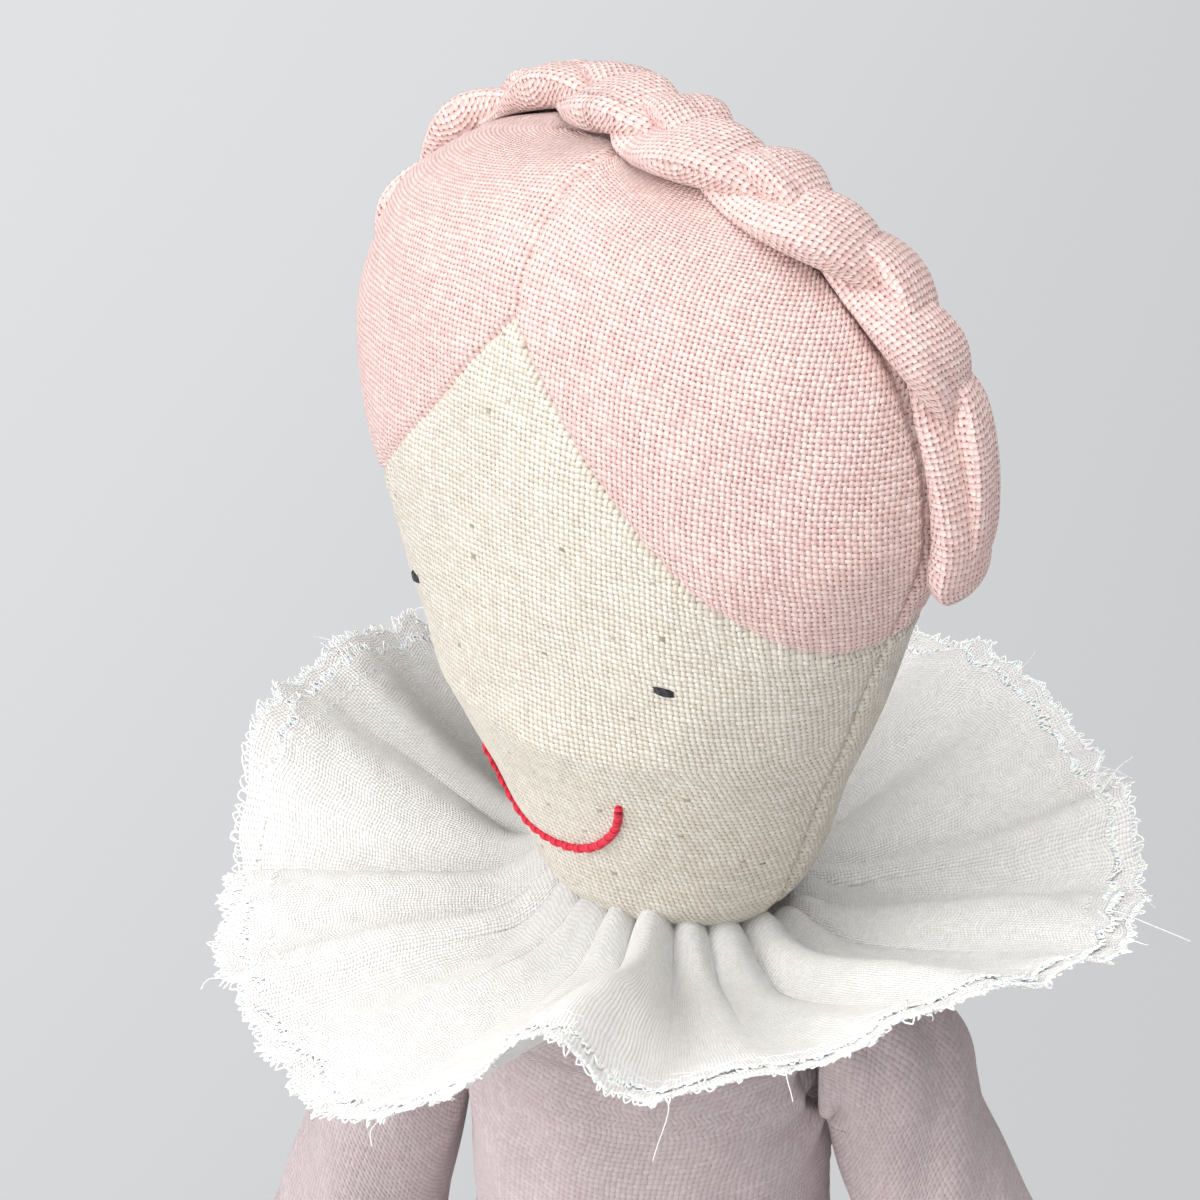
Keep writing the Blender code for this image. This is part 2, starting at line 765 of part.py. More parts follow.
def make_button():
    """A small shell button that closes the slit, lying on the back of the dress."""
    share = BUTTON_BELOW_NECK / (DRESS_NECK_HEIGHT - DRESS_SIDE_HEM_HEIGHT)
    step_share = 0.01
    surface = dress_place(math.pi / 2, share)
    run = dress_place(math.pi / 2, share + step_share) - dress_place(math.pi / 2, share - step_share)
    lean = math.atan2(run.y, -run.z)
    outwards = Vector((0, math.cos(lean), math.sin(lean)))
    bm = bmesh.new()
    bmesh.ops.create_cone(
        bm,
        cap_ends=True,
        segments=20,
        radius1=BUTTON_RADIUS,
        radius2=BUTTON_RADIUS,
        depth=BUTTON_THICKNESS,
    )
    button = mesh_object("back_button", bm, fabric("shell_button", SHELL_WHITE, SHELL_ROUGHNESS))
    button.location = surface + outwards * (BUTTON_THICKNESS / 2 + GAP)
    button.rotation_euler = (lean - math.radians(90), 0, 0)
    bevel = button.modifiers.new("edge", "BEVEL")
    bevel.width = BUTTON_THICKNESS * BUTTON_EDGE_SHARE
    bevel.segments = 1
    return button


# Arms and sleeves


def arm_spread(side):
    return LEFT_ARM_SPREAD if side > 0 else RIGHT_ARM_SPREAD


def arm_direction(side):
    return Vector((side * math.sin(arm_spread(side)), 0, -math.cos(arm_spread(side))))


def arm_turn(side):
    return Matrix.Rotation(-side * arm_spread(side), 4, "Y")


def rounded(distance, radius):
    """The closing of a round end: 0 at the end and 1 from one radius in."""
    t = min(max(distance / radius, 0.0), 1.0)
    return math.sqrt(max(0.0, 1 - (1 - t) ** 2))


def pinched(distance, length, full):
    """A half thickness that grows from a sewn edge to full over a length."""
    t = min(max(distance / length, 0.0), 1.0)
    return SEWN_EDGE + (full - SEWN_EDGE) * math.sin(t * math.pi / 2)


def limb(name, length, section, material, parent, around=12, along=12):
    """A stuffed limb down its own -Z. section(s) gives half width, half thickness and shift."""

    def place(share, angle):
        run = min(max((share * along - 1) / (along - 2), 0.0), 1.0)
        distance = length * (1 - math.cos(math.pi * run)) / 2
        width, thick, shift = section(distance)
        if share in (0.0, 1.0):
            width = thick = 0.0
        return Vector((width * math.cos(angle), shift + thick * math.sin(angle), -distance))

    bm = mapped_sphere(around, along, place)
    bmesh.ops.remove_doubles(bm, verts=bm.verts, dist=MERGE_DISTANCE)
    return mesh_object(name, bm, material, parent)


def upper_arm_section(length):
    def section(distance):
        top = rounded(distance, UPPER_ARM_RADIUS)
        width = UPPER_ARM_RADIUS * top
        flat = pinched(length - distance, ARM_PINCH, UPPER_ARM_RADIUS)
        return width, min(flat, width), 0.0

    return section


def forearm_section(length):
    def section(distance):
        share = distance / length
        end = rounded(length - distance, HAND_HALF_WIDTH)
        widths = (FOREARM_RADIUS, FOREARM_RADIUS, WRIST_RADIUS, HAND_HALF_WIDTH, HAND_HALF_WIDTH)
        thicks = (FOREARM_RADIUS, FOREARM_RADIUS, WRIST_RADIUS, HAND_HALF_THICKNESS, HAND_HALF_THICKNESS)
        station_shares = (0, 0.3, 0.68, 0.86, 1)
        width = smooth_curve(share, station_shares, widths) * end
        full = smooth_curve(share, station_shares, thicks)
        return width, pinched(distance, ARM_PINCH, full) * end, 0.0

    return section


def make_arms():
    for side, label in ((1, "left"), (-1, "right")):
        turn = arm_turn(side)
        shoulder = Vector((side * SHOULDER_SIDE, 0, SHOULDER_HEIGHT))
        elbow = shoulder + arm_direction(side) * UPPER_ARM_LENGTH
        shoulder_pivot = add_pivot(f"shoulder_{label}", shoulder, turn)
        elbow_pivot = add_pivot(f"elbow_{label}", elbow, turn)

        length = ARM_ABOVE_SHOULDER + UPPER_ARM_LENGTH - HINGE_GAP / 2
        upper = limb(
            f"upper_arm_{label}", length, upper_arm_section(length), natural_linen(), shoulder_pivot
        )
        upper.location.z = ARM_ABOVE_SHOULDER

        lower_length = FOREARM_LENGTH - HINGE_GAP / 2
        lower = limb(
            f"forearm_{label}", lower_length, forearm_section(lower_length), natural_linen(), elbow_pivot
        )
        lower.location.z = -HINGE_GAP / 2
        make_sleeve(label, side, shoulder_pivot)


def sleeve_place(side):
    """Rings that fan out from the armpit, from the armhole to the cuff."""
    armhole_side = TORSO_CHEST_HALF_WIDTH + DRESS_EASE + GAP
    armpit = Vector((armhole_side, 0, SHOULDER_HEIGHT - SLEEVE_TOP_RADIUS))
    fan_share = 0.5
    spread_angle = arm_spread(side)
    full_tilt = math.radians(90) - spread_angle
    hang = Vector((math.sin(spread_angle), 0, -math.cos(spread_angle)))
    flat = Vector((math.cos(spread_angle), 0, math.sin(spread_angle)))

    def place(across, down):
        angle = FULL_TURN * across
        fan = min(down / fan_share, 1.0)
        run = max(down - fan_share, 0.0) / (1 - fan_share)
        tilt = full_tilt * fan
        spread = Vector((math.sin(tilt), 0, math.cos(tilt)))
        radius = SLEEVE_TOP_RADIUS + (SLEEVE_CUFF_RADIUS - SLEEVE_TOP_RADIUS) * run
        centre = armpit + spread * SLEEVE_TOP_RADIUS + hang * (SLEEVE_LENGTH * run)
        flare = flat * (radius - SLEEVE_TOP_RADIUS)
        ring = spread * (radius * math.cos(angle)) + Vector((0, radius * math.sin(angle), 0))
        point = centre + ring + flare / 2
        return Vector((side * point.x, point.y, point.z))

    return place


def make_sleeve(label, side, pivot):
    sleeve = mesh_object(
        f"sleeve_{label}", mapped_grid(18, 10, sleeve_place(side)), mauve_linen()
    )
    sleeve.parent = pivot
    sleeve.matrix_parent_inverse = pivot.matrix_world.inverted()
    add_thickness(sleeve, CLOTH)
    return sleeve


# Legs, stretched out in front


def thigh_section(length):
    def section(distance):
        top = pinched(distance, LEG_PINCH, THIGH_RADIUS)
        knee = pinched(length - distance, LEG_PINCH, THIGH_RADIUS)
        raised = THIGH_RADIUS - SEAT_FLAT - HIP_HEIGHT
        at_knee = KNEE_HEIGHT - HIP_HEIGHT
        to_knee = ease(distance, length - LEG_PINCH, length)
        shift = -raised * ease(distance, 0, LEG_PINCH) + (raised - at_knee) * to_knee
        width = CALF_RADIUS + (THIGH_RADIUS - CALF_RADIUS) * math.sin(math.pi * distance / length)
        return width, min(top, knee), shift

    return section


def lower_leg_section(length):
    def section(distance):
        share = distance / length
        end = rounded(length - distance, FOOT_HALF_WIDTH)
        station_shares = (0, 0.3, 0.72, 0.88, 1)
        widths = (CALF_RADIUS, CALF_RADIUS, ANKLE_RADIUS, FOOT_HALF_WIDTH, FOOT_HALF_WIDTH)
        thicks = (CALF_RADIUS, CALF_RADIUS, ANKLE_RADIUS, FOOT_HALF_LENGTH, FOOT_HALF_LENGTH)
        toe_lift = FOOT_HALF_LENGTH - CALF_RADIUS
        shifts = (0, 0, CALF_RADIUS - ANKLE_RADIUS, -toe_lift, -toe_lift)
        width = smooth_curve(share, station_shares, widths) * end
        thick = smooth_curve(share, station_shares, thicks)
        shift = smooth_curve(share, station_shares, shifts)
        return width, pinched(distance, LEG_PINCH, thick) * end, shift

    return section


def make_legs(floor):
    for side, label in ((1, "left"), (-1, "right")):
        turn = Matrix.Rotation(side * LEG_SPLAY, 4, "Z") @ Matrix.Rotation(math.radians(-90), 4, "X")
        hip = Vector((side * HIP_SIDE, -HIP_FRONT, HIP_HEIGHT))
        hip_pivot = add_pivot(f"hip_{label}", hip, turn)
        ahead = Vector((side * math.sin(LEG_SPLAY), -math.cos(LEG_SPLAY), 0))
        knee = hip + ahead * THIGH_LENGTH
        knee.z = KNEE_HEIGHT
        knee_pivot = add_pivot(f"knee_{label}", knee, turn)

        length = THIGH_LENGTH - HINGE_GAP / 2
        thigh = limb(f"thigh_{label}", length, thigh_section(length), natural_linen(), hip_pivot, 14, 14)
        cut(thigh, floor)

        lower_length = LOWER_LEG_LENGTH - HINGE_GAP / 2
        lower = limb(
            f"lower_leg_{label}",
            lower_length,
            lower_leg_section(lower_length),
            natural_linen(),
            knee_pivot,
            14,
            14,
        )
        lower.location.z = -HINGE_GAP / 2
        cut(lower, floor)


# Collar: two ruffles gathered on one thread round the neck


def ruffle_place(rim_radius, drop):
    def place(across, outward):
        angle = FULL_TURN * across
        radius = COLLAR_GATHER_RADIUS + (rim_radius - COLLAR_GATHER_RADIUS) * outward
        saddle = COLLAR_SADDLE * math.cos(2 * (angle - COLLAR_SADDLE_TURN))
        wave = COLLAR_WAVE * math.cos(COLLAR_WAVES * angle)
        rise = (COLLAR_GATHER_DROP + COLLAR_RIM_RISE) * outward
        lift = rise + saddle * outward**COLLAR_SADDLE_POWER + wave * outward
        height = CHIN_HEIGHT - COLLAR_GATHER_DROP - drop + lift
        x = NECK_SIDE_OFFSET + radius * math.cos(angle)
        return Vector((x, radius * math.sin(angle), height))

    return place


def make_ruffle(name, rim_radius, drop):
    bm = mapped_grid(63, 5, ruffle_place(rim_radius, drop))
    ruffle = mesh_object(name, bm, white_cotton())
    add_thickness(ruffle, RUFFLE_CLOTH)
    return ruffle


def make_collar():
    make_ruffle("collar_upper_ruffle", COLLAR_RIM_RADIUS - COLLAR_UPPER_SHORTER, 0)
    make_ruffle("collar_lower_ruffle", COLLAR_RIM_RADIUS, COLLAR_LAYER_DROP)
    bpy.ops.mesh.primitive_torus_add(
        major_segments=28,
        minor_segments=8,
        major_radius=COLLAR_GATHER_RADIUS - BAND_THREAD_RADIUS - GAP,
        minor_radius=BAND_THREAD_RADIUS,
        location=(NECK_SIDE_OFFSET, 0, CHIN_HEIGHT - COLLAR_GATHER_DROP - COLLAR_LAYER_DROP / 2),
    )
    band = bpy.context.object
    band.name = "collar_gathering_thread"
    for collection in list(band.users_collection):
        collection.objects.unlink(band)
    DOLL.objects.link(band)
    band.data.materials.append(white_cotton())
    band.data.shade_smooth()


def make_head():
    turn = Matrix.Rotation(HEAD_TURN, 4, "Z")
    nod = Matrix.Rotation(HEAD_NOD, 4, "X")
    tilt = Matrix.Rotation(HEAD_TILT, 4, "Y")
    pivot = add_pivot("head_pivot", (NECK_SIDE_OFFSET, 0, CHIN_HEIGHT), turn @ nod @ tilt)
    make_head_stuffing(pivot)
    make_head_panels(pivot)
    make_eyes(pivot)
    make_mouth(pivot)
    make_braid(pivot)


def armhole_cutters():
    reach = CUT_OVERRUN + CLOTH
    made = []
    for side, label in ((1, "left"), (-1, "right")):
        centre = (side * (TORSO_CHEST_HALF_WIDTH + DRESS_EASE), 0, SHOULDER_HEIGHT)
        made.append(side_cylinder_cutter(f"armhole_{label}", centre, SLEEVE_TOP_RADIUS, reach))
    return made


def main():
    floor = make_floor_cutter()
    make_head()
    make_neck()
    make_torso(floor)
    make_dress(armhole_cutters())
    make_button()
    make_arms()
    make_legs(floor)
    make_collar()


main()
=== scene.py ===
"""The looks of a sewn linen rag doll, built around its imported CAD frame.

Metres, +Z up. The doll sits facing -Y with its own left side at +X.
"""

import math

import bpy
import numpy as np
from mathutils import Matrix, Vector
from mathutils.bvhtree import BVHTree


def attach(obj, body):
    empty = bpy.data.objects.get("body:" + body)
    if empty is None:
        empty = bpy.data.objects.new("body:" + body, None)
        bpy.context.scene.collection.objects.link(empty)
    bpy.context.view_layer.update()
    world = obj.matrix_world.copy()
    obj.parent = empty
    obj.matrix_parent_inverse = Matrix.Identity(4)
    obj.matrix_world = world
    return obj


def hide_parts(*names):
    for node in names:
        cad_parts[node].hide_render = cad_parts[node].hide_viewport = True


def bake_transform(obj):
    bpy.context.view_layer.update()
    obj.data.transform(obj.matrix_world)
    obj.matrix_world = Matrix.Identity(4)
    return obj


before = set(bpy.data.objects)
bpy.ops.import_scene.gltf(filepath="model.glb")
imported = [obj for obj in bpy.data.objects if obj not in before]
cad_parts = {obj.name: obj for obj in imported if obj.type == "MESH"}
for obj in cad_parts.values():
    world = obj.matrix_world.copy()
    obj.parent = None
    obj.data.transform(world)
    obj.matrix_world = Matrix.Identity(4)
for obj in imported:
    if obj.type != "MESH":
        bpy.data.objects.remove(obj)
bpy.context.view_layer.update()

FULL_TURN = 2 * math.pi
SIDES = ((1, "left"), (-1, "right"))

# Head, in its own frame: the chin at 0, the face towards -Y
HEAD_HEIGHT = 0.096
HEAD_HALF_WIDTH = 0.0421
HEAD_FRONT_DEPTH = 0.0236
HEAD_BACK_DEPTH = 0.0217
HEAD_WIDEST_HEIGHT = 0.0616
HEAD_DEEPEST_HEIGHT = 0.0324
CHIN_ROUNDING = 0.008
CHIN_WIDTH_SHARE = 0.367
CHIN_DEPTH_SHARE = 0.572
CHIN_SEAM_SHARE = 0.6
CROWN_WIDTH_POWER = 2.37
CROWN_DEPTH_POWER = 3.1
TAPER_SOFTNESS = 0.1
TAPER_WIDTH_POWER = 0.875
TAPER_DEPTH_POWER = 0.71
HAIRLINE_PEAK_HEIGHT = 0.0822
HAIRLINE_SIDE_HEIGHT = 0.046
HAIRLINE_HALF_WIDTH = 0.038
HAIRLINE_POWER = 1.2

HEAD_TURN = math.radians(-34.0)
HEAD_NOD = math.radians(2.6)
HEAD_TILT = math.radians(-2.4)
CHIN_HEIGHT = 0.151
NECK_SIDE_OFFSET = 0.003
NECK_RADIUS = 0.009
NECK_FOOT_HEIGHT = 0.1423
NECK_TURNED_IN = 0.0015

# Seams and stitches
SEAM_DEPTH = 0.00055
SEAM_WIDTH = 0.0007
PUCKER_DEPTH = 0.00012
PUCKER_REACH = 0.0028
STITCH_LENGTH = 0.0024
EYE_SIDE = 0.0202
EYE_HEIGHT = 0.0433
EYE_LENGTH = 0.0024
EYE_THICKNESS = 0.0010
EYE_SLOPE = math.radians(-10)
MOUTH_THREAD_RADIUS = 0.00055
MOUTH_THIN_SHARE = 0.62
MOUTH_STITCH_LENGTH = 0.0021
MOUTH_OVERLAP = 0.16
MOUTH_FULL_SHARE = 0.8
MOUTH_SIDES = (-0.0142, -0.0134, -0.0118, -0.0072, -0.0010, 0.0036, 0.0075, 0.0103, 0.0113)
MOUTH_HEIGHTS = (0.0222, 0.0191, 0.0162, 0.0141, 0.0144, 0.0156, 0.0184, 0.0222, 0.0250)
EYE_THREAD_SPACING = 0.27 * EYE_THICKNESS
EYE_THREAD_RADIUS = 0.28 * EYE_THICKNESS
STITCH_SINK_SHARE = 0.35
STITCH_END_SHARE = 0.78
PANEL_COLUMNS = 281
PANEL_LUMP_HEIGHT = 0.00022
PANEL_LUMP_SIZE = 0.015
CROWN_ROW_POWER = 1.8

# Braid
BRAID_END_HEIGHT = 0.0545
BRAID_BEHIND_SEAM = 0.0040
BRAID_CROWN_SHIFT = 0.0035
BRAID_CROWN_SHARE = 0.58
BRAID_CROWN_REACH_SHARE = 0.13
BRAID_RIGHT_SHIFT = 0.0035
BRAID_RIGHT_SHARE = 0.36
BRAID_PERIOD = 0.0456
BRAID_STEADY_LENGTH = 0.119
BRAID_SLOW_SHARE = 0.3
BRAID_START_TURN = math.radians(-89.0)
BRAID_LIFT = 0.0026
BRAID_SWING = 0.0031
BRAID_WEAVE_HEIGHT = 0.0018
BRAID_TOP_TURN = math.radians(134.0)
BRAID_WIDE_TURN = math.radians(124.0)
BRAID_PROBE = 0.006
STRANDS = 3
STRAND_WIDTH = 0.0086
STRAND_THICKNESS = 0.0022
STRAND_PINCH_SHARE = 0.20
STRAND_ROLL = 0.16
STRAND_ROLL_AHEAD = math.radians(8.0)
STRAND_END_LENGTH = 0.0045
STRAND_EDGE_POWER = 2.8
STRAND_REST = 0.0003
STRAND_SEAM_DEPTH = 0.00022
STRAND_SEAM_WIDTH = 0.00022
STRAND_SEAM_SPACING = 0.0009
STRAND_SEAM_SHARES = (0.05, -0.5, None)
STRAND_SEAM_WANDER = 0.0003
STRAND_SEAM_WANDER_SIZE = 0.012
STRAND_LUMP_SIZE = 0.016
STRAND_LUMP_WIDTH_SHARE = 0.05
STRAND_LUMP_THICKNESS_SHARE = 0.08
STRAND_END_THICKNESS_SHARE = 0.25

# Collar
COLLAR_INNER_RADIUS = 0.0100
COLLAR_RIM_RADIUS = 0.0540
COLLAR_LAYER_RISE = 0.0012
COLLAR_UPPER_SHORTER = 0.0028
CHIN_HALF_WIDTH = 0.0128
CHIN_HALF_DEPTH = 0.0112
COLLAR_CLOTH = 0.00045
COLLAR_MEAN_RISE = 0.008
CHIN_TUCK_RISE = 0.0014
CHIN_TUCK_REACH = 0.0034
NAPE_ROOM = 0.0036
NAPE_ROOM_REACH = 0.0065
COLLAR_GATHERS = 11
ZIGZAG_FROM_EDGE = 0.0026
ZIGZAG_HALF_HEIGHT = 0.00035
ZIGZAG_STEP = 0.0007
ZIGZAG_LIFT = 0.00004
ZIGZAG_THREAD_RADIUS = 0.00009
GATHERING_THREAD_RADIUS = 0.0005
GATHERING_THREAD_GAP = 0.0004
GATHERING_THREAD_BELOW_CHIN = 0.0036
FRINGE_THREAD_RADIUS = 0.00011
FRINGE_LOOPS = 1000
FRINGE_LENGTHS = (0.0004, 0.0013)
FRINGE_ROOT = 0.0008
FRINGE_JITTER = 0.16
FRINGE_TURNED_ASIDE = 0.2
LOOSE_THREADS = 14
LOOSE_THREAD_LENGTHS = (0.003, 0.007)
LOOSE_THREAD_ROOT = 0.0005
LOOSE_THREAD_RADII = (0.00009, 0.00005)
LOOSE_THREAD_ARCH = 0.0008
LOOSE_THREAD_WAVE = 0.0006
LOOSE_THREAD_CURL = 0.45

# Torso and neck
TORSO_HEIGHT = 0.142
TORSO_HIP_HALF_WIDTH = 0.028
TORSO_CHEST_HALF_WIDTH = 0.0204
TORSO_HIP_HALF_DEPTH = 0.0195
TORSO_CHEST_HALF_DEPTH = 0.0135
TORSO_ROW_POWER = 1.35
SEAT_FLAT = 0.0005
LEAST_HEIGHT = 0.0002
NECK_RIPPLE = 0.0002
NECK_RIPPLES = 22

# Dress
DRESS_CLOTH = 0.0007
DRESS_NECK_HALF_WIDTH = 0.0115
DRESS_NECK_HALF_DEPTH = 0.0108
DRESS_NECK_HEIGHT = 0.1434
DRESS_HEM_HALF_WIDTH = 0.040
DRESS_LAP_DEPTH = 0.056
DRESS_BACK_DEPTH = 0.036
DRESS_LAP_HEIGHT = 0.0262
DRESS_SIDE_HEM_HEIGHT = 0.004
DRESS_EASE = 0.0012
DRESS_ROOM = 0.0022
DRESS_FOLD_DEPTH = 0.0015
DRESS_FOLDS = 14
DRESS_ROW_POWER = 1.2
HEM_FOLD = 0.005
HEM_FOLD_SOFTNESS = 0.001
HEM_STITCH_WIDTH = 0.0006
DRESS_HEM_STITCH_DEPTH = 0.00035
DRESS_HEM_FOLD_HEIGHT = 0.0004
DRESS_LAP_ENDS = (0.74, 0.96)
DRESS_SEAM_GAP = 0.0003
DRESS_CREASE_DEPTH = 0.0007
DRESS_CREASE_SIZE = 0.03
DRESS_WRINKLE_DEPTH = 0.00022
DRESS_WRINKLE_SIZE = 0.009
ARMHOLE_SIDES = (0.010, 0.017)
ARMHOLE_TUCK_DEPTH = 0.0012
ARMHOLE_TUCK_REACHES = (-0.001, 0.0006)
ARMHOLE_PULLS = 9
ARMHOLE_PULL_DEPTH = 0.00055
ARMHOLE_PULL_REACH = 0.007
ARMHOLE_PULL_LEAN = 300.0
NECK_SLIT_LENGTH = 0.028
NECK_SLIT_DEPTH = 0.0012
NECK_SLIT_WIDTH = 0.0006
BUTTON_RADIUS = 0.004
BUTTON_THICKNESS = 0.0018
BUTTON_BELOW_NECK = 0.0075
BUTTON_FACE_SHARE = 0.35
BUTTON_RIM_RISE_SHARE = 0.15
BUTTON_RIM_AT_SHARE = 0.82
BUTTON_RIM_WIDTH_SHARE = 0.1
BUTTON_HOLE_DEPTH_SHARE = 0.6
BUTTON_HOLE_AWAY = 0.24 * BUTTON_RADIUS
BUTTON_HOLE_EDGES = (0.09 * BUTTON_RADIUS, 0.12 * BUTTON_RADIUS)
BUTTON_THREAD_RADIUS = 0.00022
BUTTON_THREAD_LIFT = 0.0009
BUTTON_THREAD_ARCH = 0.0003

# Arms and sleeves
SHOULDER_SIDE = 0.0284
SHOULDER_HEIGHT = 0.132
ARM_SPREADS = {1: math.radians(18.0), -1: math.radians(12.0)}
UPPER_ARM_LENGTH = 0.056
ARM_ABOVE_SHOULDER = 0.0035
ARM_RADIUS = 0.0060
FOREARM_LENGTH = 0.062
WRIST_RADIUS = 0.0047
HAND_HALF_WIDTH = 0.0070
HAND_HALF_THICKNESS = 0.0046
SLEEVE_TOP_RADIUS = 0.0086
SLEEVE_CUFF_RADIUS = 0.0108
SLEEVE_LENGTH = 0.033
SLEEVE_FAN_SHARE = 0.42
SLEEVE_OFF_CHEST = 0.0003
SLEEVE_PUFF = 0.0011
SLEEVE_TUCK = 0.0009
SLEEVE_CREASE_DEPTH = 0.0006
SLEEVE_CREASE_SIZE = 0.015
SLEEVE_CREASE_LENGTH = 0.05
SLEEVE_PULLS = 11
SLEEVE_PULL_DEPTH = 0.0004
SLEEVE_PULL_REACH = 0.12
SLEEVE_HEM_STITCH_DEPTH = 0.0003
SLEEVE_HEM_FOLD_HEIGHT = 0.00035

# Legs
HIP_SIDE = 0.014
HIP_FRONT = 0.0143
HIP_HEIGHT = 0.005
LEG_SPLAY = math.radians(1.5)
THIGH_LENGTH = 0.092
THIGH_RADIUS = 0.0120
LOWER_LEG_LENGTH = 0.096
CALF_RADIUS = 0.0108
ANKLE_RADIUS = 0.0080
FOOT_HALF_WIDTH = 0.0098
FOOT_HALF_LENGTH = 0.0150
KNEE_HEIGHT = CALF_RADIUS - SEAT_FLAT

# Where a limb is sewn flat
SEWN_EDGE = 0.0006
ARM_PINCH = 0.018
LEG_PINCH = 0.025
FOLD_STITCH = 0.0018
FOLD_ROW_SHARE = 0.86
FOLD_STITCH_HALF_LENGTH = 0.36 * FOLD_STITCH
FOLD_STITCH_RADIUS = 0.0002
FOLD_STITCH_LIFT = 0.0001
FOLD_STITCH_ARCH = 0.00018
FOLD_GATHERS = 15
FOLD_GATHER_LEAN = 40.0
FOLD_GATHER_DEPTH = 0.0003
FOLD_GATHER_REACH = 0.006
LIMB_LUMP_HEIGHT = 0.0003
LIMB_LUMP_SIZE = 0.02

# Cloth weaves
LINEN_PITCH = 0.00068
COTTON_PITCH = 0.00042
THREAD_DRIFT = 1.8
THREAD_DRIFT_SCALE = 0.07
THREAD_DRIFT_APART = (37.0, 11.0, 0.0)
THREAD_SWELL_SCALE = 0.16
THREAD_SWELL_SHARES = (0.86, 1.13)
THREAD_ROUND_HEIGHT = 0.6
THREAD_BASE_HEIGHT = 0.7
THREAD_TONE_SCALE = 0.3
FLECK_SCALE = 0.9
FLECK_STRETCH = (1.0, 0.45, 1.0)
FLECK_STRENGTH = 0.7
FUZZ_SCALE = 5.0
FUZZ_HEIGHT = 0.3

# Camera, measured from the chin
CAMERA_FROM_CHIN = (0.0809, -0.4256, 0.2786)
CAMERA_TURN = (math.radians(61.06), 0.0, math.radians(12.0))
CAMERA_LENS = 129.7


# Small tools


def smooth(x, stations, values):
    """The values on a smooth curve through the stations, which never overshoots them."""
    stations = np.asarray(stations, float)
    values = np.asarray(values, float)
    x = np.clip(np.asarray(x, float), stations[0], stations[-1])
    climbs = np.diff(values) / np.diff(stations)
    before, after = climbs[:-1], climbs[1:]
    same_way = before * after > 0
    total = np.where(same_way, before + after, 1)
    inner_slopes = np.where(same_way, 2 * before * after / total, 0)
    slopes = np.concatenate([climbs[:1], inner_slopes, climbs[-1:]])
    i = np.clip(np.searchsorted(stations, x, side="right") - 1, 0, len(stations) - 2)
    span = stations[i + 1] - stations[i]
    t = (x - stations[i]) / span
    rise = t * t * (3 - 2 * t)
    lead = t * (1 - t) ** 2 * slopes[i] * span
    trail = t * t * (t - 1) * slopes[i + 1] * span
    return values[i] + (values[i + 1] - values[i]) * rise + lead + trail


def ease(x, low, high):
    """0 below low, 1 above high and a soft slope between them."""
    t = np.clip((np.asarray(x, float) - low) / (high - low), 0, 1)
    return t * t * (3 - 2 * t)


def hump(x):
    """1 where x is 0, and falling softly to nothing on both sides."""
    return np.exp(-(x**2))


def unit(vectors):
    """The vectors at a length of 1."""
    return vectors / np.linalg.norm(vectors, axis=-1, keepdims=True)


def stacked(*parts):
    """Points from their coordinates, which may be single values, rows or columns."""
    return np.stack(np.broadcast_arrays(*parts), -1)


def ring(count):
    """Angles all the way round, in a row."""
    return np.linspace(0, FULL_TURN, count, endpoint=False)[None]


def shares(count):
    """Shares from 0 to 1, in a column."""
    return np.linspace(0, 1, count)[:, None]


def scaled(size, *parts):
    """The size times each of the parts."""
    return [size * part for part in parts]


def bumps(x, y, size, seed=0):
    """Gentle random hills between -1 and 1, about that size across."""
    source = np.random.default_rng(seed)
    total = np.zeros(np.broadcast(x, y).shape)
    waves = 9
    for _ in range(waves):
        heading = source.uniform(0, FULL_TURN)
        length = size * source.uniform(0.7, 1.6)
        shift = source.uniform(0, FULL_TURN)
        along = np.asarray(x) * math.cos(heading) + np.asarray(y) * math.sin(heading)
        total = total + np.sin(FULL_TURN * along / length + shift)
    return total / math.sqrt(waves * 2)


def bumps_round(angle, radius, along, size, seed=0):
    """Bumps on a tube, which meet where its turn closes."""
    slant = (0.6, 0.8)
    x = radius * np.cos(angle) + slant[0] * along
    y = radius * np.sin(angle) + slant[1] * along
    return bumps(x, y, size, seed)


def grid_normals(points):
    """A unit vector square to the surface at each point of a grid."""
    normals = np.cross(np.gradient(points, axis=1), np.gradient(points, axis=0))
    length = np.linalg.norm(normals, axis=2, keepdims=True)
    return normals / np.maximum(length, 1e-12)


def moved(points, matrix):
    """The points carried into the world by a matrix."""
    matrix = np.array(matrix)
    return points @ matrix[:3, :3].T + matrix[:3, 3]


def run_lengths(points, axis):
    """The distance along a grid's rows or columns from their first point."""
    steps = np.linalg.norm(np.diff(points, axis=axis), axis=2)
    start = np.zeros_like(np.take(steps, [0], axis=axis))
    return np.cumsum(np.concatenate([start, steps], axis=axis), axis=axis)


def path_lengths(points):
    """The distance along a path from its first point."""
    steps = np.linalg.norm(np.diff(points, axis=0), axis=1)
    return np.concatenate([[0], np.cumsum(steps)])


def side_gaps(points):
    """How far each point of a grid is, along its row, from the nearer side."""
    return np.minimum(run_lengths(points, 1), run_lengths(points[:, ::-1], 1)[:, ::-1])


def grid_corners(rows, cols, wrap):
    """The rows and columns of the four corners of every face of a grid."""
    i, j = np.meshgrid(np.arange(rows - 1), np.arange(cols if wrap else cols - 1), indexing="ij")
    return (i, j), (i, j + 1), (i + 1, j + 1), (i + 1, j)


def grid_faces(rows, cols, wrap):
    """Each face of a grid as the numbers of its points. A wrapped grid closes on its first column."""
    corners = [i * cols + j % cols for i, j in grid_corners(rows, cols, wrap)]
    return np.stack(corners, -1).reshape(-1, 4)


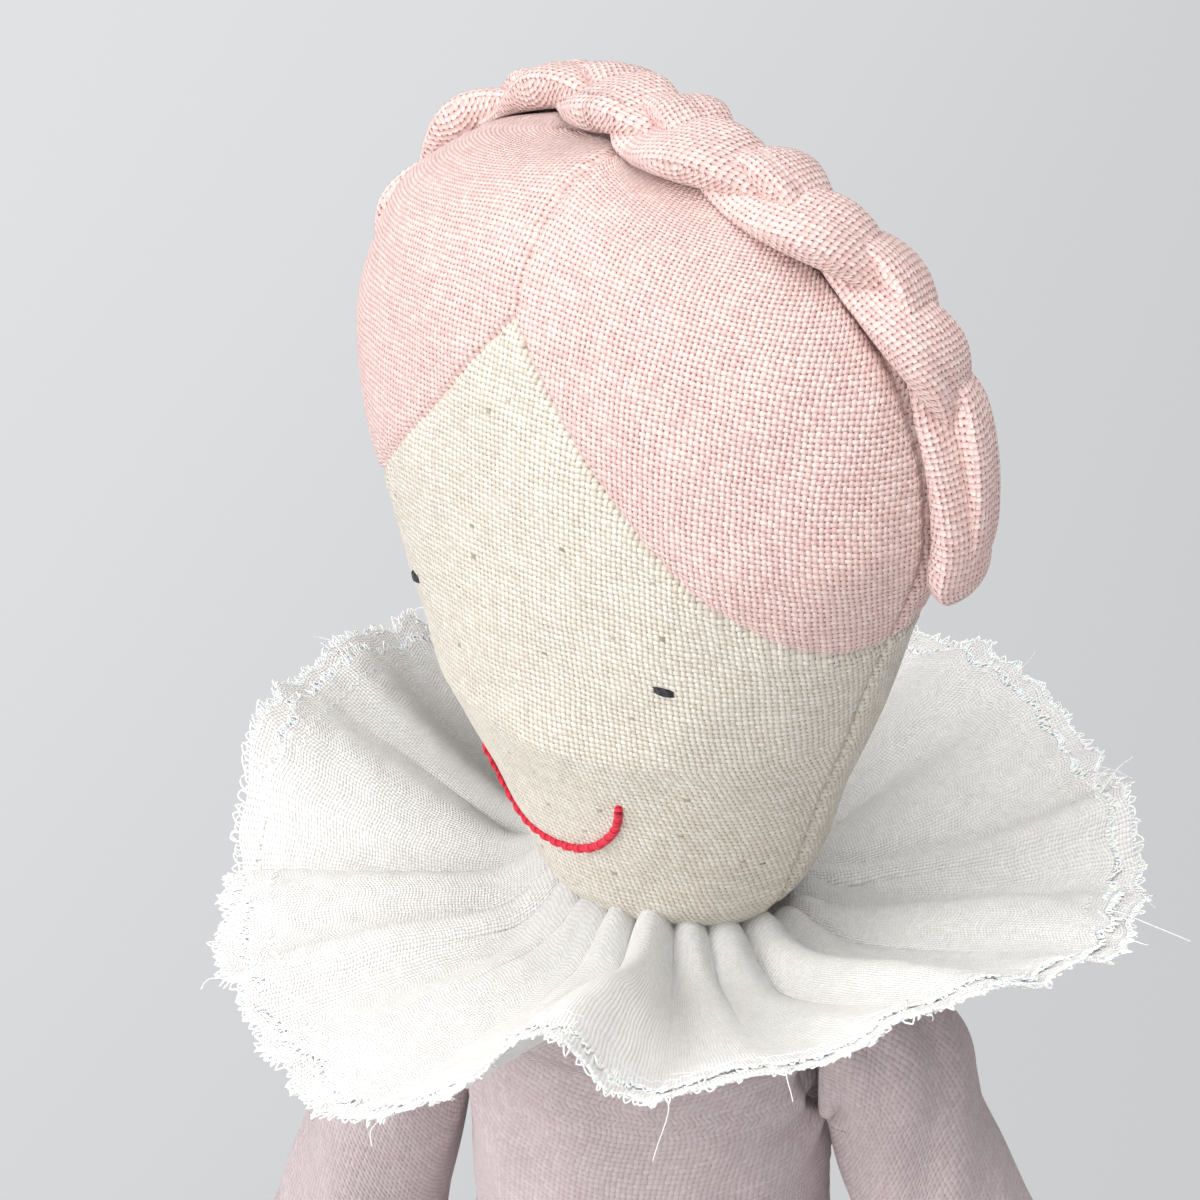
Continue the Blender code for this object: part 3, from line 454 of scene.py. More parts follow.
def face_threads(threads, rows, cols, wrap):
    """The place in the cloth of every face's corners."""
    corners = [threads[i, j] for i, j in grid_corners(rows, cols, wrap)]
    return np.stack(corners, 2).reshape(-1, 2)


def linked(name, data):
    """A new object in the scene."""
    item = bpy.data.objects.new(name, data)
    bpy.context.scene.collection.objects.link(item)
    return item


def smooth_mesh(name, points, faces, places):
    """A smooth mesh that keeps each face's place in the cloth."""
    mesh = bpy.data.meshes.new(name)
    mesh.from_pydata(points.reshape(-1, 3).tolist(), [], faces)
    layer = mesh.uv_layers.new(name="threads")
    layer.data.foreach_set("uv", places.ravel())
    mesh.validate()
    mesh.shade_smooth()
    return linked(name, mesh)


def surface(name, points, threads=None, wrap=False, ends=False):
    """A smooth mesh from a grid of points. threads gives each point's place in the cloth."""
    rows, cols = points.shape[:2]
    if threads is None:
        threads = np.stack([run_lengths(points, 1), run_lengths(points, 0)], -1)
    if wrap and threads.shape[1] == cols:
        step = threads[:, -1:] - threads[:, -2:-1]
        threads = np.concatenate([threads, threads[:, -1:] + step], axis=1)
    faces = grid_faces(rows, cols, wrap).tolist()
    places = face_threads(threads, rows, cols, wrap)
    if ends:
        faces.append(list(range(cols))[::-1])
        faces.append([(rows - 1) * cols + k for k in range(cols)])
        places = np.concatenate([places, threads[0, :cols][::-1], threads[-1, :cols]])
    return smooth_mesh(name, points, faces, places)


def tube(points, radii, sides=6):
    """A grid of points round a path, for one thread."""
    points = np.asarray(points, float)
    run = unit(np.gradient(points, axis=0))
    nearly_up = (0.12, 0.07, 1.0)
    aside = unit(np.cross(run, nearly_up))
    rise = np.cross(aside, run)
    turn = ring(sides)[..., None]
    circle = aside[:, None] * np.cos(turn) + rise[:, None] * np.sin(turn)
    return points[:, None] + circle * np.broadcast_to(radii, len(points))[:, None, None]


def joined(name, grids):
    """One mesh of many small closed tubes."""
    faces, places = [], []
    base = 0
    for grid in grids:
        rows, cols = grid.shape[:2]
        faces.append(grid_faces(rows, cols, True) + base)
        along = run_lengths(grid, 0)
        along = np.concatenate([along, along[:, :1]], axis=1)
        threads = stacked(np.arange(cols + 1) / cols, along)
        places.append(face_threads(threads, rows, cols, True))
        base += rows * cols
    points = np.concatenate([grid.reshape(-1, 3) for grid in grids])
    return smooth_mesh(name, points, np.concatenate(faces).tolist(), np.concatenate(places))


# Materials


def set_constants(node, values):
    """Sets a node's sockets, which go by their names."""
    for name, value in values.items():
        node.inputs[name].default_value = value


class Graph:
    """Short ways to lay out a material's nodes."""

    def __init__(self, name):
        self.material = bpy.data.materials.new(name)
        self.material.use_nodes = True
        self.tree = self.material.node_tree
        self.shader = self.tree.nodes["Principled BSDF"]

    def feed(self, socket, value):
        if isinstance(value, bpy.types.NodeSocket):
            self.tree.links.new(value, socket)
        else:
            socket.default_value = value

    def add(self, kind, *values, **settings):
        """The outputs of a new node, whose inputs take the values in their order."""
        node = self.tree.nodes.new("ShaderNode" + kind)
        for name, setting in settings.items():
            setattr(node, name, setting)
        for socket, value in zip(node.inputs, values):
            self.feed(socket, value)
        return node.outputs

    def math(self, operation, *values):
        return self.add("Math", *values, operation=operation)[0]

    def vector(self, operation, first, second):
        return self.add("VectorMath", first, second, operation=operation)[0]

    def uv(self):
        return self.add("UVMap", uv_map="threads")[0]

    def split(self, vector):
        outputs = self.add("SeparateXYZ", vector)
        return outputs[0], outputs[1]

    def combine(self, x, y, z=0.0):
        return self.add("CombineXYZ", x, y, z)[0]

    def noise(self, vector, scale, detail=2.0, roughness=0.5):
        node = self.tree.nodes.new("ShaderNodeTexNoise")
        self.feed(node.inputs["Vector"], vector)
        set_constants(node, {"Scale": scale, "Detail": detail, "Roughness": roughness})
        return node.outputs[0]

    def spread(self, value, low, high, start=0.0, end=1.0):
        values = (value, low, high, start, end)
        return self.add("MapRange", *values, interpolation_type="SMOOTHSTEP")[0]

    def mix(self, share, first, second):
        node = self.tree.nodes.new("ShaderNodeMix")
        node.data_type = "RGBA"
        self.feed(node.inputs[0], share)
        self.feed(node.inputs[6], first)
        self.feed(node.inputs[7], second)
        return node.outputs[2]

    def bump(self, height, distance):
        node = self.tree.nodes.new("ShaderNodeBump")
        set_constants(node, {"Strength": 1.0, "Distance": distance})
        self.feed(node.inputs["Height"], height)
        return node.outputs[0]

    def finish(self, colour, normal, roughness=0.9, sheen=0.25):
        self.feed(self.shader.inputs["Base Color"], colour)
        self.feed(self.shader.inputs["Normal"], normal)
        set_constants(self.shader, {
            "Roughness": roughness,
            "Sheen Weight": sheen,
            "Sheen Roughness": 0.5,
            "Specular IOR Level": 0.2,
        })
        return self.material


def thread_drift(graph, place):
    """How far a thread wanders from its straight line, in thread pitches."""
    noise = graph.noise(place, THREAD_DRIFT_SCALE, 3.0)
    return graph.math("MULTIPLY_ADD", noise, THREAD_DRIFT, -THREAD_DRIFT / 2)


def thread_height(graph, along, across, line, lift, cover):
    """How high one way's threads stand: round, of uneven width, and arched over the other way's."""
    uneven = graph.noise(line, THREAD_SWELL_SCALE)
    swell = graph.spread(uneven, 0.3, 0.7, *scaled(cover, *THREAD_SWELL_SHARES))
    off = graph.math("ABSOLUTE", graph.math("SUBTRACT", graph.math("FRACT", across), 0.5))
    share = graph.math("DIVIDE", off, swell)
    inside = graph.math("LESS_THAN", share, 1.0)
    square = graph.math("MINIMUM", graph.math("MULTIPLY", share, share), 1.0)
    crown = graph.math("SQRT", graph.math("SUBTRACT", 1.0, square))
    arch = graph.math("SINE", graph.math("MULTIPLY", graph.math("FRACT", along), math.pi))
    height = graph.math("MULTIPLY_ADD", crown, THREAD_ROUND_HEIGHT, graph.math("MULTIPLY", arch, lift))
    return graph.math("MULTIPLY", graph.math("ADD", height, THREAD_BASE_HEIGHT), inside)


def woven(name, thread, pale, gap_shade, pitch, fleck=None, fleck_share=0.0, depth_share=0.35, cover=0.43):
    """Plain-woven cloth: threads that pass over and under each other, each a little unlike the next, with
    painted shade in the gaps between them.
    """
    graph = Graph(name)
    place = graph.vector("MULTIPLY", graph.uv(), (1 / pitch,) * 3)
    drift_u = thread_drift(graph, place)
    drift_v = thread_drift(graph, graph.vector("ADD", place, THREAD_DRIFT_APART))
    u, v = graph.split(graph.vector("ADD", place, graph.combine(drift_u, drift_v)))
    warp_number, weft_number = graph.math("FLOOR", u), graph.math("FLOOR", v)
    warp_line = graph.combine(graph.math("MULTIPLY", warp_number, 7.3), v)
    weft_line = graph.combine(u, graph.math("MULTIPLY", weft_number, 5.9))
    odd = graph.math("PINGPONG", graph.math("ADD", warp_number, weft_number), 1.0)
    warp_lift = graph.math("SUBTRACT", 0.5, odd)
    weft_lift = graph.math("SUBTRACT", odd, 0.5)
    warp_height = thread_height(graph, v, u, warp_line, warp_lift, cover)
    weft_height = thread_height(graph, u, v, weft_line, weft_lift, cover)
    warp_on_top = graph.math("GREATER_THAN", warp_height, weft_height)
    height = graph.math("MAXIMUM", warp_height, weft_height)

    # Colour: each thread has its own tone, and the gaps between threads get a darker colour, which is painted
    # shade where the threads dip down.
    warp_tone = graph.noise(warp_line, THREAD_TONE_SCALE, 3.0)
    weft_tone = graph.noise(weft_line, THREAD_TONE_SCALE, 3.0)
    tone = graph.math("ADD", graph.math("MULTIPLY", warp_tone, warp_on_top),
                      graph.math("MULTIPLY", weft_tone, graph.math("SUBTRACT", 1.0, warp_on_top)))
    colour = graph.mix(graph.spread(tone, 0.34, 0.66), thread, pale)
    if fleck is not None:
        speck = graph.noise(graph.vector("MULTIPLY", warp_line, FLECK_STRETCH), FLECK_SCALE)
        limit = 1 - fleck_share
        speck = graph.spread(speck, limit - 0.26, limit - 0.2)
        colour = graph.mix(graph.math("MULTIPLY", speck, FLECK_STRENGTH), colour, fleck)
    # Painted shade: the colour given for the gaps fills them and creeps up the low sides of the threads,
    # where shade falls between them.
    colour = graph.mix(graph.spread(height, 0.1, 0.75), gap_shade, colour)
    fuzz = graph.noise(place, FUZZ_SCALE, 3.0, roughness=0.7)
    full = graph.math("MULTIPLY_ADD", fuzz, FUZZ_HEIGHT, height)
    return graph.finish(colour, graph.bump(full, pitch * depth_share))


def twisted(name, colour, ply_groove_shade, roughness=0.6):
    """Embroidery thread: plies wound round each other, with painted shade in the grooves between them."""
    graph = Graph(name)
    u, v = graph.split(graph.uv())
    plies, turns_per_metre, ply_depth = 2.0, 900.0, 0.00015
    winding = graph.math("ADD", graph.math("MULTIPLY", u, plies), graph.math("MULTIPLY", v, turns_per_metre))
    ply = graph.math("ABSOLUTE", graph.math("SINE", graph.math("MULTIPLY", winding, math.pi)))
    # Painted shade: the grooves between the plies take the darker second colour.
    tint = graph.mix(graph.spread(ply, 0.0, 0.7), ply_groove_shade, colour)
    return graph.finish(tint, graph.bump(ply, ply_depth), roughness, sheen=0.1)


def plain(name, colour, roughness=0.95):
    """A material of one colour."""
    graph = Graph(name)
    set_constants(graph.shader, {
        "Base Color": colour,
        "Roughness": roughness,
        "Subsurface Weight": 0.3,
        "Subsurface Scale": 0.0004,
    })
    return graph.material


def rgb(red, green, blue):
    """A colour for a shader, from its 0 to 255 values on a screen."""
    parts = []
    for value in (red, green, blue):
        share = value / 255
        parts.append(share / 12.92 if share <= 0.04045 else ((share + 0.055) / 1.055) ** 2.4)
    return (*parts, 1.0)


# The last colour of each woven cloth is painted shade for the gaps between its threads.
PINK_LINEN = woven(
    "pink_linen", rgb(237, 200, 195), rgb(248, 222, 216), rgb(158, 82, 80), LINEN_PITCH, cover=0.385,
    depth_share=0.42,
)
NATURAL_LINEN = woven(
    "natural_linen", rgb(225, 216, 201), rgb(240, 235, 224), rgb(150, 134, 108), LINEN_PITCH,
    fleck=rgb(128, 106, 76), fleck_share=0.05, cover=0.405, depth_share=0.42,
)
MAUVE_LINEN = woven(
    "mauve_linen", rgb(196, 180, 183), rgb(208, 194, 196), rgb(186, 166, 171), LINEN_PITCH,
    depth_share=0.18, cover=0.41,
)
WHITE_COTTON = woven(
    "white_cotton", rgb(242, 241, 239), rgb(250, 250, 249), rgb(200, 199, 196), COTTON_PITCH,
    depth_share=0.4, cover=0.42,
)
# The second colour of each thread is painted shade for the grooves between its plies.
BLACK_THREAD = twisted("black_thread", rgb(58, 58, 60), rgb(20, 20, 22))
RED_THREAD = twisted("red_thread", rgb(226, 48, 72), rgb(176, 22, 48))
WHITE_THREAD = plain("white_thread", rgb(253, 253, 252))
SHELL = plain("shell_button", rgb(238, 232, 224), 0.25)


def dressed(piece, material, body, node=None):
    """Gives a piece its material, the body that it moves with and the node that it stands for."""
    piece.data.materials.clear()
    piece.data.materials.append(material)
    if body:
        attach(piece, body)
    if node:
        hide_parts(*([node] if isinstance(node, str) else node))
    return piece


# Head surface


def swelling(height, full, widest, crown_power, foot_share, taper_power):
    """Half the head's size up its height: full at the widest, round to the crown, tapered to the chin."""
    rise = np.clip((height - widest) / (HEAD_HEIGHT - widest), 0, 1)
    crown = np.clip(1 - rise**crown_power, 0, 1) ** (1 / crown_power)
    fall = np.clip((widest - height) / widest, 0, 1)
    soft_fall = np.hypot(fall, TAPER_SOFTNESS) - TAPER_SOFTNESS
    soft_fall = soft_fall / (math.hypot(1, TAPER_SOFTNESS) - TAPER_SOFTNESS)
    taper = 1 - (1 - foot_share) * soft_fall**taper_power
    return full * np.where(height >= widest, crown, taper)


def chin_rounding(height):
    """How far the chin's lower end has drawn in at a height."""
    drop = np.clip((CHIN_ROUNDING - height) / CHIN_ROUNDING, 0, 1)
    return np.sqrt(1 - drop**2 * (1 - CHIN_SEAM_SHARE**2))


def head_half_width(height):
    width = swelling(
        height, HEAD_HALF_WIDTH, HEAD_WIDEST_HEIGHT, CROWN_WIDTH_POWER, CHIN_WIDTH_SHARE, TAPER_WIDTH_POWER
    )
    return width * chin_rounding(height)


def head_depth(height, full):
    depth = swelling(
        height, full, HEAD_DEEPEST_HEIGHT, CROWN_DEPTH_POWER, CHIN_DEPTH_SHARE, TAPER_DEPTH_POWER
    )
    return depth * chin_rounding(height)


def depth_facing(angle, height):
    """The head's depth at the front or the back, whichever the angle faces."""
    front = np.cos(angle) >= 0
    return np.where(front, head_depth(height, HEAD_FRONT_DEPTH), head_depth(height, HEAD_BACK_DEPTH))


def head_points(angle, height):
    """Points of the head's surface. The angle is 0 at the front and a quarter turn at its left."""
    angle, height = np.broadcast_arrays(angle, height)
    x = head_half_width(height) * np.sin(angle)
    return np.stack([x, -depth_facing(angle, height) * np.cos(angle), height], -1)


def head_threads(angle, height):
    """How far a point is round the head from the front, and up the head from the chin."""
    angle, height = np.broadcast_arrays(angle, height)
    steps = 48
    middles = (np.arange(steps) + 0.5) / steps
    turned = angle[..., None] * middles
    width = head_half_width(height)[..., None]
    depth = depth_facing(angle, height)[..., None]
    round_it = np.sqrt((width * np.cos(turned)) ** 2 + (depth * np.sin(turned)) ** 2)
    across = round_it.sum(-1) * angle / steps
    climb = height[..., None] * np.linspace(0, 1, 2 * steps)
    column = head_points(np.broadcast_to(angle[..., None], climb.shape), climb)
    up = np.linalg.norm(np.diff(column, axis=-2), axis=-1).sum(-1)
    return np.stack([across, up], -1)


def head_normals(angle, height):
    """The direction out of the head at a point of its surface."""
    turn_step, height_step = 0.004, 0.00008
    below = np.maximum(height - height_step, 0)
    above = np.minimum(height + height_step, HEAD_HEIGHT * (1 - 1e-6))
    across = head_points(angle + turn_step, height) - head_points(angle - turn_step, height)
    up = head_points(angle, above) - head_points(angle, below)
    normals = np.cross(across, up)
    length = np.linalg.norm(normals, axis=-1, keepdims=True)
    return np.where(length > 1e-12, normals / np.maximum(length, 1e-12), (0.0, 0.0, 1.0))


def hairline(x):
    """The height of the seam between face and hair, that far to the side."""
    away = np.clip(np.abs(x) / HAIRLINE_HALF_WIDTH, 0, 1)
    rise = HAIRLINE_PEAK_HEIGHT - HAIRLINE_SIDE_HEIGHT
    return HAIRLINE_SIDE_HEIGHT + rise * (1 - away) ** HAIRLINE_POWER


def hairline_height(angle):
    """Where a line up the head at this angle meets the hairline."""
    height = np.full(np.shape(angle), HAIRLINE_PEAK_HEIGHT)
    low = np.zeros_like(height)
    high = np.full_like(height, HAIRLINE_PEAK_HEIGHT + 0.001)
    for _ in range(40):
        height = (low + high) / 2
        under = height < hairline(head_half_width(height) * np.sin(angle))
        low = np.where(under, height, low)
        high = np.where(under, high, height)
    return height


HEAD = (
    Matrix.Translation((NECK_SIDE_OFFSET, 0, CHIN_HEIGHT))
    @ Matrix.Rotation(HEAD_TURN, 4, "Z")
    @ Matrix.Rotation(HEAD_NOD, 4, "X")
    @ Matrix.Rotation(HEAD_TILT, 4, "Y")
)


def seam_dent(distance, along):
    """How far cloth is drawn in near a seam, with the small puckers of its stitches."""
    groove = SEAM_DEPTH * hump(distance / SEAM_WIDTH)
    pucker = PUCKER_DEPTH * np.exp(-distance / PUCKER_REACH) * (1 + np.cos(FULL_TURN * along / STITCH_LENGTH))
    return groove + pucker


def panel(name, angles, low, high, rows, material, node, top_seam=True):
    """One sewn panel of the head between two heights, which may differ at each angle."""
    share = shares(rows)
    if not top_seam:
        share = 1 - (1 - share) ** CROWN_ROW_POWER
    angle = np.broadcast_to(angles, (rows, len(angles)))
    height = low + (high - low) * share
    points = head_points(angle, height)
    threads = head_threads(angle, height)
    up_gap = run_lengths(points, 0)
    down_gap = up_gap[-1:] - up_gap
    dent = seam_dent(side_gaps(points), threads[..., 1])
    dent = np.maximum(dent, seam_dent(down_gap if top_seam else up_gap, threads[..., 0]))
    lumps = PANEL_LUMP_HEIGHT * bumps(points[..., 0] + points[..., 1], points[..., 2], PANEL_LUMP_SIZE)
    points = points + head_normals(angle, height) * (lumps - dent)[..., None]
    piece = surface(name, moved(points, HEAD), threads)
    return dressed(piece, material, "head", node)


def make_head():
    quarter = math.pi / 2
    front = np.linspace(-quarter, quarter, PANEL_COLUMNS)
    middle = PANEL_COLUMNS // 2
    rim = hairline_height(front)
    panel("face", front, 0.0, rim, 200, NATURAL_LINEN, "face_panel")
    for label, part in (("left", slice(middle, None)), ("right", slice(0, middle + 1))):
        node = f"hair_panel_{label}"
        panel(f"hair_{label}", front[part], rim[part], HEAD_HEIGHT, 180, PINK_LINEN, node, top_seam=False)
    back = np.linspace(quarter, 3 * quarter, PANEL_COLUMNS)
    ear = np.full(back.shape, rim[0])
    panel("nape", back, 0.0, ear, 130, NATURAL_LINEN, "nape_panel")
    panel("hair_back", back, ear, HEAD_HEIGHT, 180, PINK_LINEN, "hair_panel_back", top_seam=False)
    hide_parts("head_stuffing")


def face_spot(x, height, lift):
    """A point in front of the face, that far above its cloth."""
    x, height = np.broadcast_arrays(np.asarray(x, float), np.asarray(height, float))
    angle = np.arcsin(np.clip(x / head_half_width(height), -1, 1))
    step = 0.0005
    here = head_points(angle, height)
    across = head_points(angle + step / HEAD_HALF_WIDTH, height) - here
    up = head_points(angle, height + step) - here
    return here + unit(np.cross(across, up)) * np.asarray(lift)[..., None]


def stitch(start, end, radius):
    """One stitch of thread from hole to hole, proud in its middle."""
    share = np.linspace(0, 1, 9)
    arch = np.sin(math.pi * share)
    x = start[0] + (end[0] - start[0]) * share
    height = start[1] + (end[1] - start[1]) * share
    spots = face_spot(x, height, radius * (arch - STITCH_SINK_SHARE))
    return tube(spots, radius * (STITCH_END_SHARE + (1 - STITCH_END_SHARE) * arch), 8)


def make_eyes():
    """Each eye is a few short threads side by side, which slope down towards the nose."""
    for side, label in SIDES:
        half = EYE_LENGTH / 2
        run = Vector((half * math.cos(EYE_SLOPE), half * math.sin(EYE_SLOPE)))
        threads = []
        for shift in (-1, 0, 1):
            middle = (side * EYE_SIDE, EYE_HEIGHT + shift * EYE_THREAD_SPACING)
            start = (middle[0] - run[0], middle[1] - side * run[1])
            end = (middle[0] + run[0], middle[1] + side * run[1])
            threads.append(moved(stitch(start, end, EYE_THREAD_RADIUS), HEAD))
        piece = joined(f"eye_{label}", threads)
        dressed(piece, BLACK_THREAD, "head", f"eye_stitch_{label}")


def make_mouth():
    """A row of overlapping stitches along the smile, from the doll's right to its left."""
    share = np.linspace(0, 1, 200)
    stations = np.linspace(0, 1, len(MOUTH_SIDES))
    x = smooth(share, stations, MOUTH_SIDES)
    height = smooth(share, stations, MOUTH_HEIGHTS)
    length = path_lengths(face_spot(x, height, np.zeros_like(x)))
    count = round(length[-1] / MOUTH_STITCH_LENGTH)
    threads = []
    for number in range(count):
        ends = []
        for mark in (number - MOUTH_OVERLAP, number + 1 + MOUTH_OVERLAP):
            at = float(np.clip(mark / count, 0, 1)) * length[-1]
            ends.append((float(np.interp(at, length, x)), float(np.interp(at, length, height))))
        swell = float(ease(number / count, 0.0, MOUTH_FULL_SHARE))
        full = MOUTH_THIN_SHARE + (1 - MOUTH_THIN_SHARE) * swell
        threads.append(moved(stitch(*ends, MOUTH_THREAD_RADIUS * full), HEAD))
    piece = joined("smile", threads)
    dressed(piece, RED_THREAD, "head", "mouth_stitch")


# Braid


def head_tree():
    """The head's form as a surface that can be asked for its nearest point."""
    angle = np.linspace(-math.pi, math.pi, 361)[None]
    height = HEAD_HEIGHT * np.sin(np.linspace(0.2, math.pi / 2, 150))[:, None]
    points = head_points(angle, height)
    faces = grid_faces(*points.shape[:2], False)
    return BVHTree.FromPolygons(points.reshape(-1, 3).tolist(), faces.tolist())


def braid_arch():
    """The line on the head that the braid's middle follows."""
    share = np.linspace(0, 1, 800)
    height = BRAID_END_HEIGHT + (HEAD_HEIGHT - BRAID_END_HEIGHT) * np.sin(math.pi * share)
    near_crown = hump((share - BRAID_CROWN_SHARE) / BRAID_CROWN_REACH_SHARE)
    near_right = hump((share - BRAID_RIGHT_SHARE) / BRAID_CROWN_REACH_SHARE)
    behind = BRAID_BEHIND_SEAM - BRAID_CROWN_SHIFT * near_crown + BRAID_RIGHT_SHIFT * near_right
    depth = head_depth(height, HEAD_BACK_DEPTH)
    kept = depth > behind
    share, height, depth, behind = share[kept], height[kept], depth[kept], behind[kept]
    x = np.copysign(head_half_width(height) * np.sqrt(1 - (behind / depth) ** 2), share - 1 / 2)
    return np.stack([x, behind, height], -1)


def evened(values, window):
    """Values averaged with their neighbours on both sides."""
    edge = np.pad(values, ((window, window), (0, 0)), mode="edge")
    return np.stack([edge[k : k + len(values)] for k in range(2 * window + 1)]).mean(0)


def braid_frame(tree, stations):
    """Places along the braid's middle, with the directions out of the head and towards its back."""
    arch = braid_arch()
    along = path_lengths(arch)
    run = np.linspace(0, 1, stations) * along[-1]
    spot = evened(np.stack([np.interp(run, along, arch[:, i]) for i in range(3)], -1), window=8)
    out = np.array([tree.find_nearest(Vector(place))[1] for place in spot])
    out *= np.sign((out * (spot - (0, 0, HEAD_DEEPEST_HEIGHT))).sum(1, keepdims=True))
    out = unit(evened(out, window=20))
    aside = unit(np.cross(out, np.gradient(spot, axis=0)))
    aside *= np.sign(aside[:, 1:2])
    return run, spot, out, aside


def strand_turn(strand, run):
    """How far a strand has gone round its plait. It slows down where the braid's end is tied."""
    steady = np.minimum(run, BRAID_STEADY_LENGTH)
    steady = steady + BRAID_SLOW_SHARE * np.maximum(run - BRAID_STEADY_LENGTH, 0)
    return BRAID_START_TURN + FULL_TURN * (steady / BRAID_PERIOD - strand / STRANDS)


def strand_section(count):
    """A flat rope's outline, in half widths and half thicknesses."""
    turn = np.linspace(0, FULL_TURN, count, endpoint=False) + math.pi
    side, rise = np.cos(turn), -np.sin(turn)
    power = 2 / STRAND_EDGE_POWER
    return np.sign(side) * np.abs(side) ** power, np.sign(rise) * np.abs(rise) ** power


def strand_sizes(strand, run, turn):
    """Half the strand's width and thickness along its run, and how far its ends have closed."""
    lump = bumps(run, np.full_like(run, strand * 0.1), STRAND_LUMP_SIZE, seed=strand)
    near_end = np.clip(np.minimum(run, run[-1] - run) / STRAND_END_LENGTH, 0, 1)
    closing = np.sqrt(np.clip(1 - (1 - near_end) ** 2, 0, 1))
    pinch = 1 + STRAND_PINCH_SHARE * np.cos(2 * (turn - BRAID_WIDE_TURN))
    flat_end = STRAND_END_THICKNESS_SHARE + (1 - STRAND_END_THICKNESS_SHARE) * closing
    width = STRAND_WIDTH / 2 * closing * pinch * (1 + STRAND_LUMP_WIDTH_SHARE * lump)
    thick = STRAND_THICKNESS / 2 * flat_end * closing * (1 + STRAND_LUMP_THICKNESS_SHARE * lump)
    return width, thick, closing


def seam_creases(run, across, seam):
    """The two fine creases beside the seam that closes a strand's folded cloth."""
    seam = seam + STRAND_SEAM_WANDER * bumps(run, run, STRAND_SEAM_WANDER_SIZE, seed=9)
    before = hump((across - seam + STRAND_SEAM_SPACING / 2) / STRAND_SEAM_WIDTH)
    after = hump((across - seam - STRAND_SEAM_SPACING / 2) / STRAND_SEAM_WIDTH)
    return STRAND_SEAM_DEPTH * (before + after)


def make_strand(strand, seam_share, frame_lines, tree):
    """One flat folded strip, plaited with the others and laid on the head."""
    run, spot, out, aside = frame_lines
    run = run[:, None]
    turn = strand_turn(strand, run)
    width, thick, closing = strand_sizes(strand, run, turn)
    weave = BRAID_WEAVE_HEIGHT * np.cos(2 * (turn - BRAID_TOP_TURN))
    side, rise = strand_section(72)
    across = side * width
    below = np.maximum(BRAID_LIFT + weave - STRAND_REST, thick) * closing
    height = rise * np.where(rise > 0, thick, below)
    if seam_share is not None:
        on_top = rise > 0.2
        height = height - seam_creases(run, across, seam_share * width) * on_top * closing
    height = height - STRAND_ROLL * across * np.sin(turn + STRAND_ROLL_AHEAD)
    aslant = BRAID_SWING * np.sin(turn) + across
    probe = spot[:, None] + aside[:, None] * aslant[..., None] + out[:, None] * BRAID_PROBE
    found = [tree.find_nearest(Vector(place))[0] for place in probe.reshape(-1, 3)]
    base = np.array(found).reshape(probe.shape)
    level = np.maximum(BRAID_LIFT + weave + height, LEAST_HEIGHT)
    points = base + unit(probe - base) * level[..., None]
    threads = stacked(run_lengths(points, 1), run)
    piece = surface(f"braid_{strand + 1}", moved(points, HEAD), threads, wrap=True, ends=True)
    dressed(piece, PINK_LINEN, "head", f"braid_strand_{strand + 1}")


def make_braid():
    tree = head_tree()
    frame_lines = braid_frame(tree, 520)
    for strand, seam_share in enumerate(STRAND_SEAM_SHARES):
        make_strand(strand, seam_share, frame_lines, tree)


# Neck, torso and dress


def around_neck(turn, radius, height):
    """Points on rings round the neck."""
    return stacked(NECK_SIDE_OFFSET + radius * np.cos(turn), radius * np.sin(turn), height)


def make_neck():
    height = np.linspace(NECK_FOOT_HEIGHT, CHIN_HEIGHT + NECK_TURNED_IN, 14)[:, None]
    turn = ring(64)
    radius = NECK_RADIUS + NECK_RIPPLE * np.cos(turn * NECK_RIPPLES)
    piece = surface("neck_cloth", around_neck(turn, radius, height), wrap=True, ends=True)
    dressed(piece, NATURAL_LINEN, "neck", "neck")


def torso_points(angle, share):
    """The stuffed body, full at the hips and flat under the seat."""
    up_share = ((1 - np.cos(math.pi * share)) / 2) ** TORSO_ROW_POWER
    height = (TORSO_HEIGHT + SEAT_FLAT) * up_share - SEAT_FLAT
    stations = (0, 0.03, 0.12, 0.3, 0.62, 0.8, 0.92, 0.975, 1)
    widths = scaled(TORSO_HIP_HALF_WIDTH, 0.72, 0.88, 1, 0.96)
    widths += scaled(TORSO_CHEST_HALF_WIDTH, 1.02, 1, 1, 0.86, 0.5)
    depths = scaled(TORSO_HIP_HALF_DEPTH, 0.5, 0.74, 0.9, 1)
    depths += scaled(TORSO_CHEST_HALF_DEPTH, 1.12, 1, 0.88, 0.74, 0.6)
    not_an_end = np.where((share <= 0) | (share >= 1), 0, 1)
    width = smooth(up_share, stations, widths) * not_an_end
    depth = smooth(up_share, stations, depths) * not_an_end
    shift = NECK_SIDE_OFFSET * ease(up_share, 0.88, 1)
    dent = seam_dent(np.abs(np.sin(angle)) * depth, height)
    x = shift + (width - dent) * np.cos(angle)
    return stacked(x, depth * np.sin(angle), np.maximum(height, LEAST_HEIGHT))


def make_torso():
    piece = surface("body", torso_points(ring(96), shares(90)), wrap=True)
    dressed(piece, NATURAL_LINEN, "torso", "torso")


def hem_height(angle):
    """The hem lies on the lap in front and on the seat's level all round."""
    off_lap = ease(np.abs(np.cos(angle)), *DRESS_LAP_ENDS)
    front = DRESS_LAP_HEIGHT + (DRESS_SIDE_HEM_HEIGHT - DRESS_LAP_HEIGHT) * off_lap
    return np.where(np.sin(angle) >= 0, DRESS_SIDE_HEM_HEIGHT, front)


def dress_depth(share, hem_depth):
    """The dress from its middle to its front or its back, which differ at the hem."""
    hip_depth = TORSO_HIP_HALF_DEPTH + DRESS_ROOM
    depths = [DRESS_NECK_HALF_DEPTH] + scaled(TORSO_CHEST_HALF_DEPTH + DRESS_ROOM, 0.84, 1, 1.1)
    depths += [hip_depth, (hip_depth + hem_depth) / 2, hem_depth]
    return smooth(share, (0, 0.03, 0.12, 0.3, 0.62, 0.82, 1), depths)


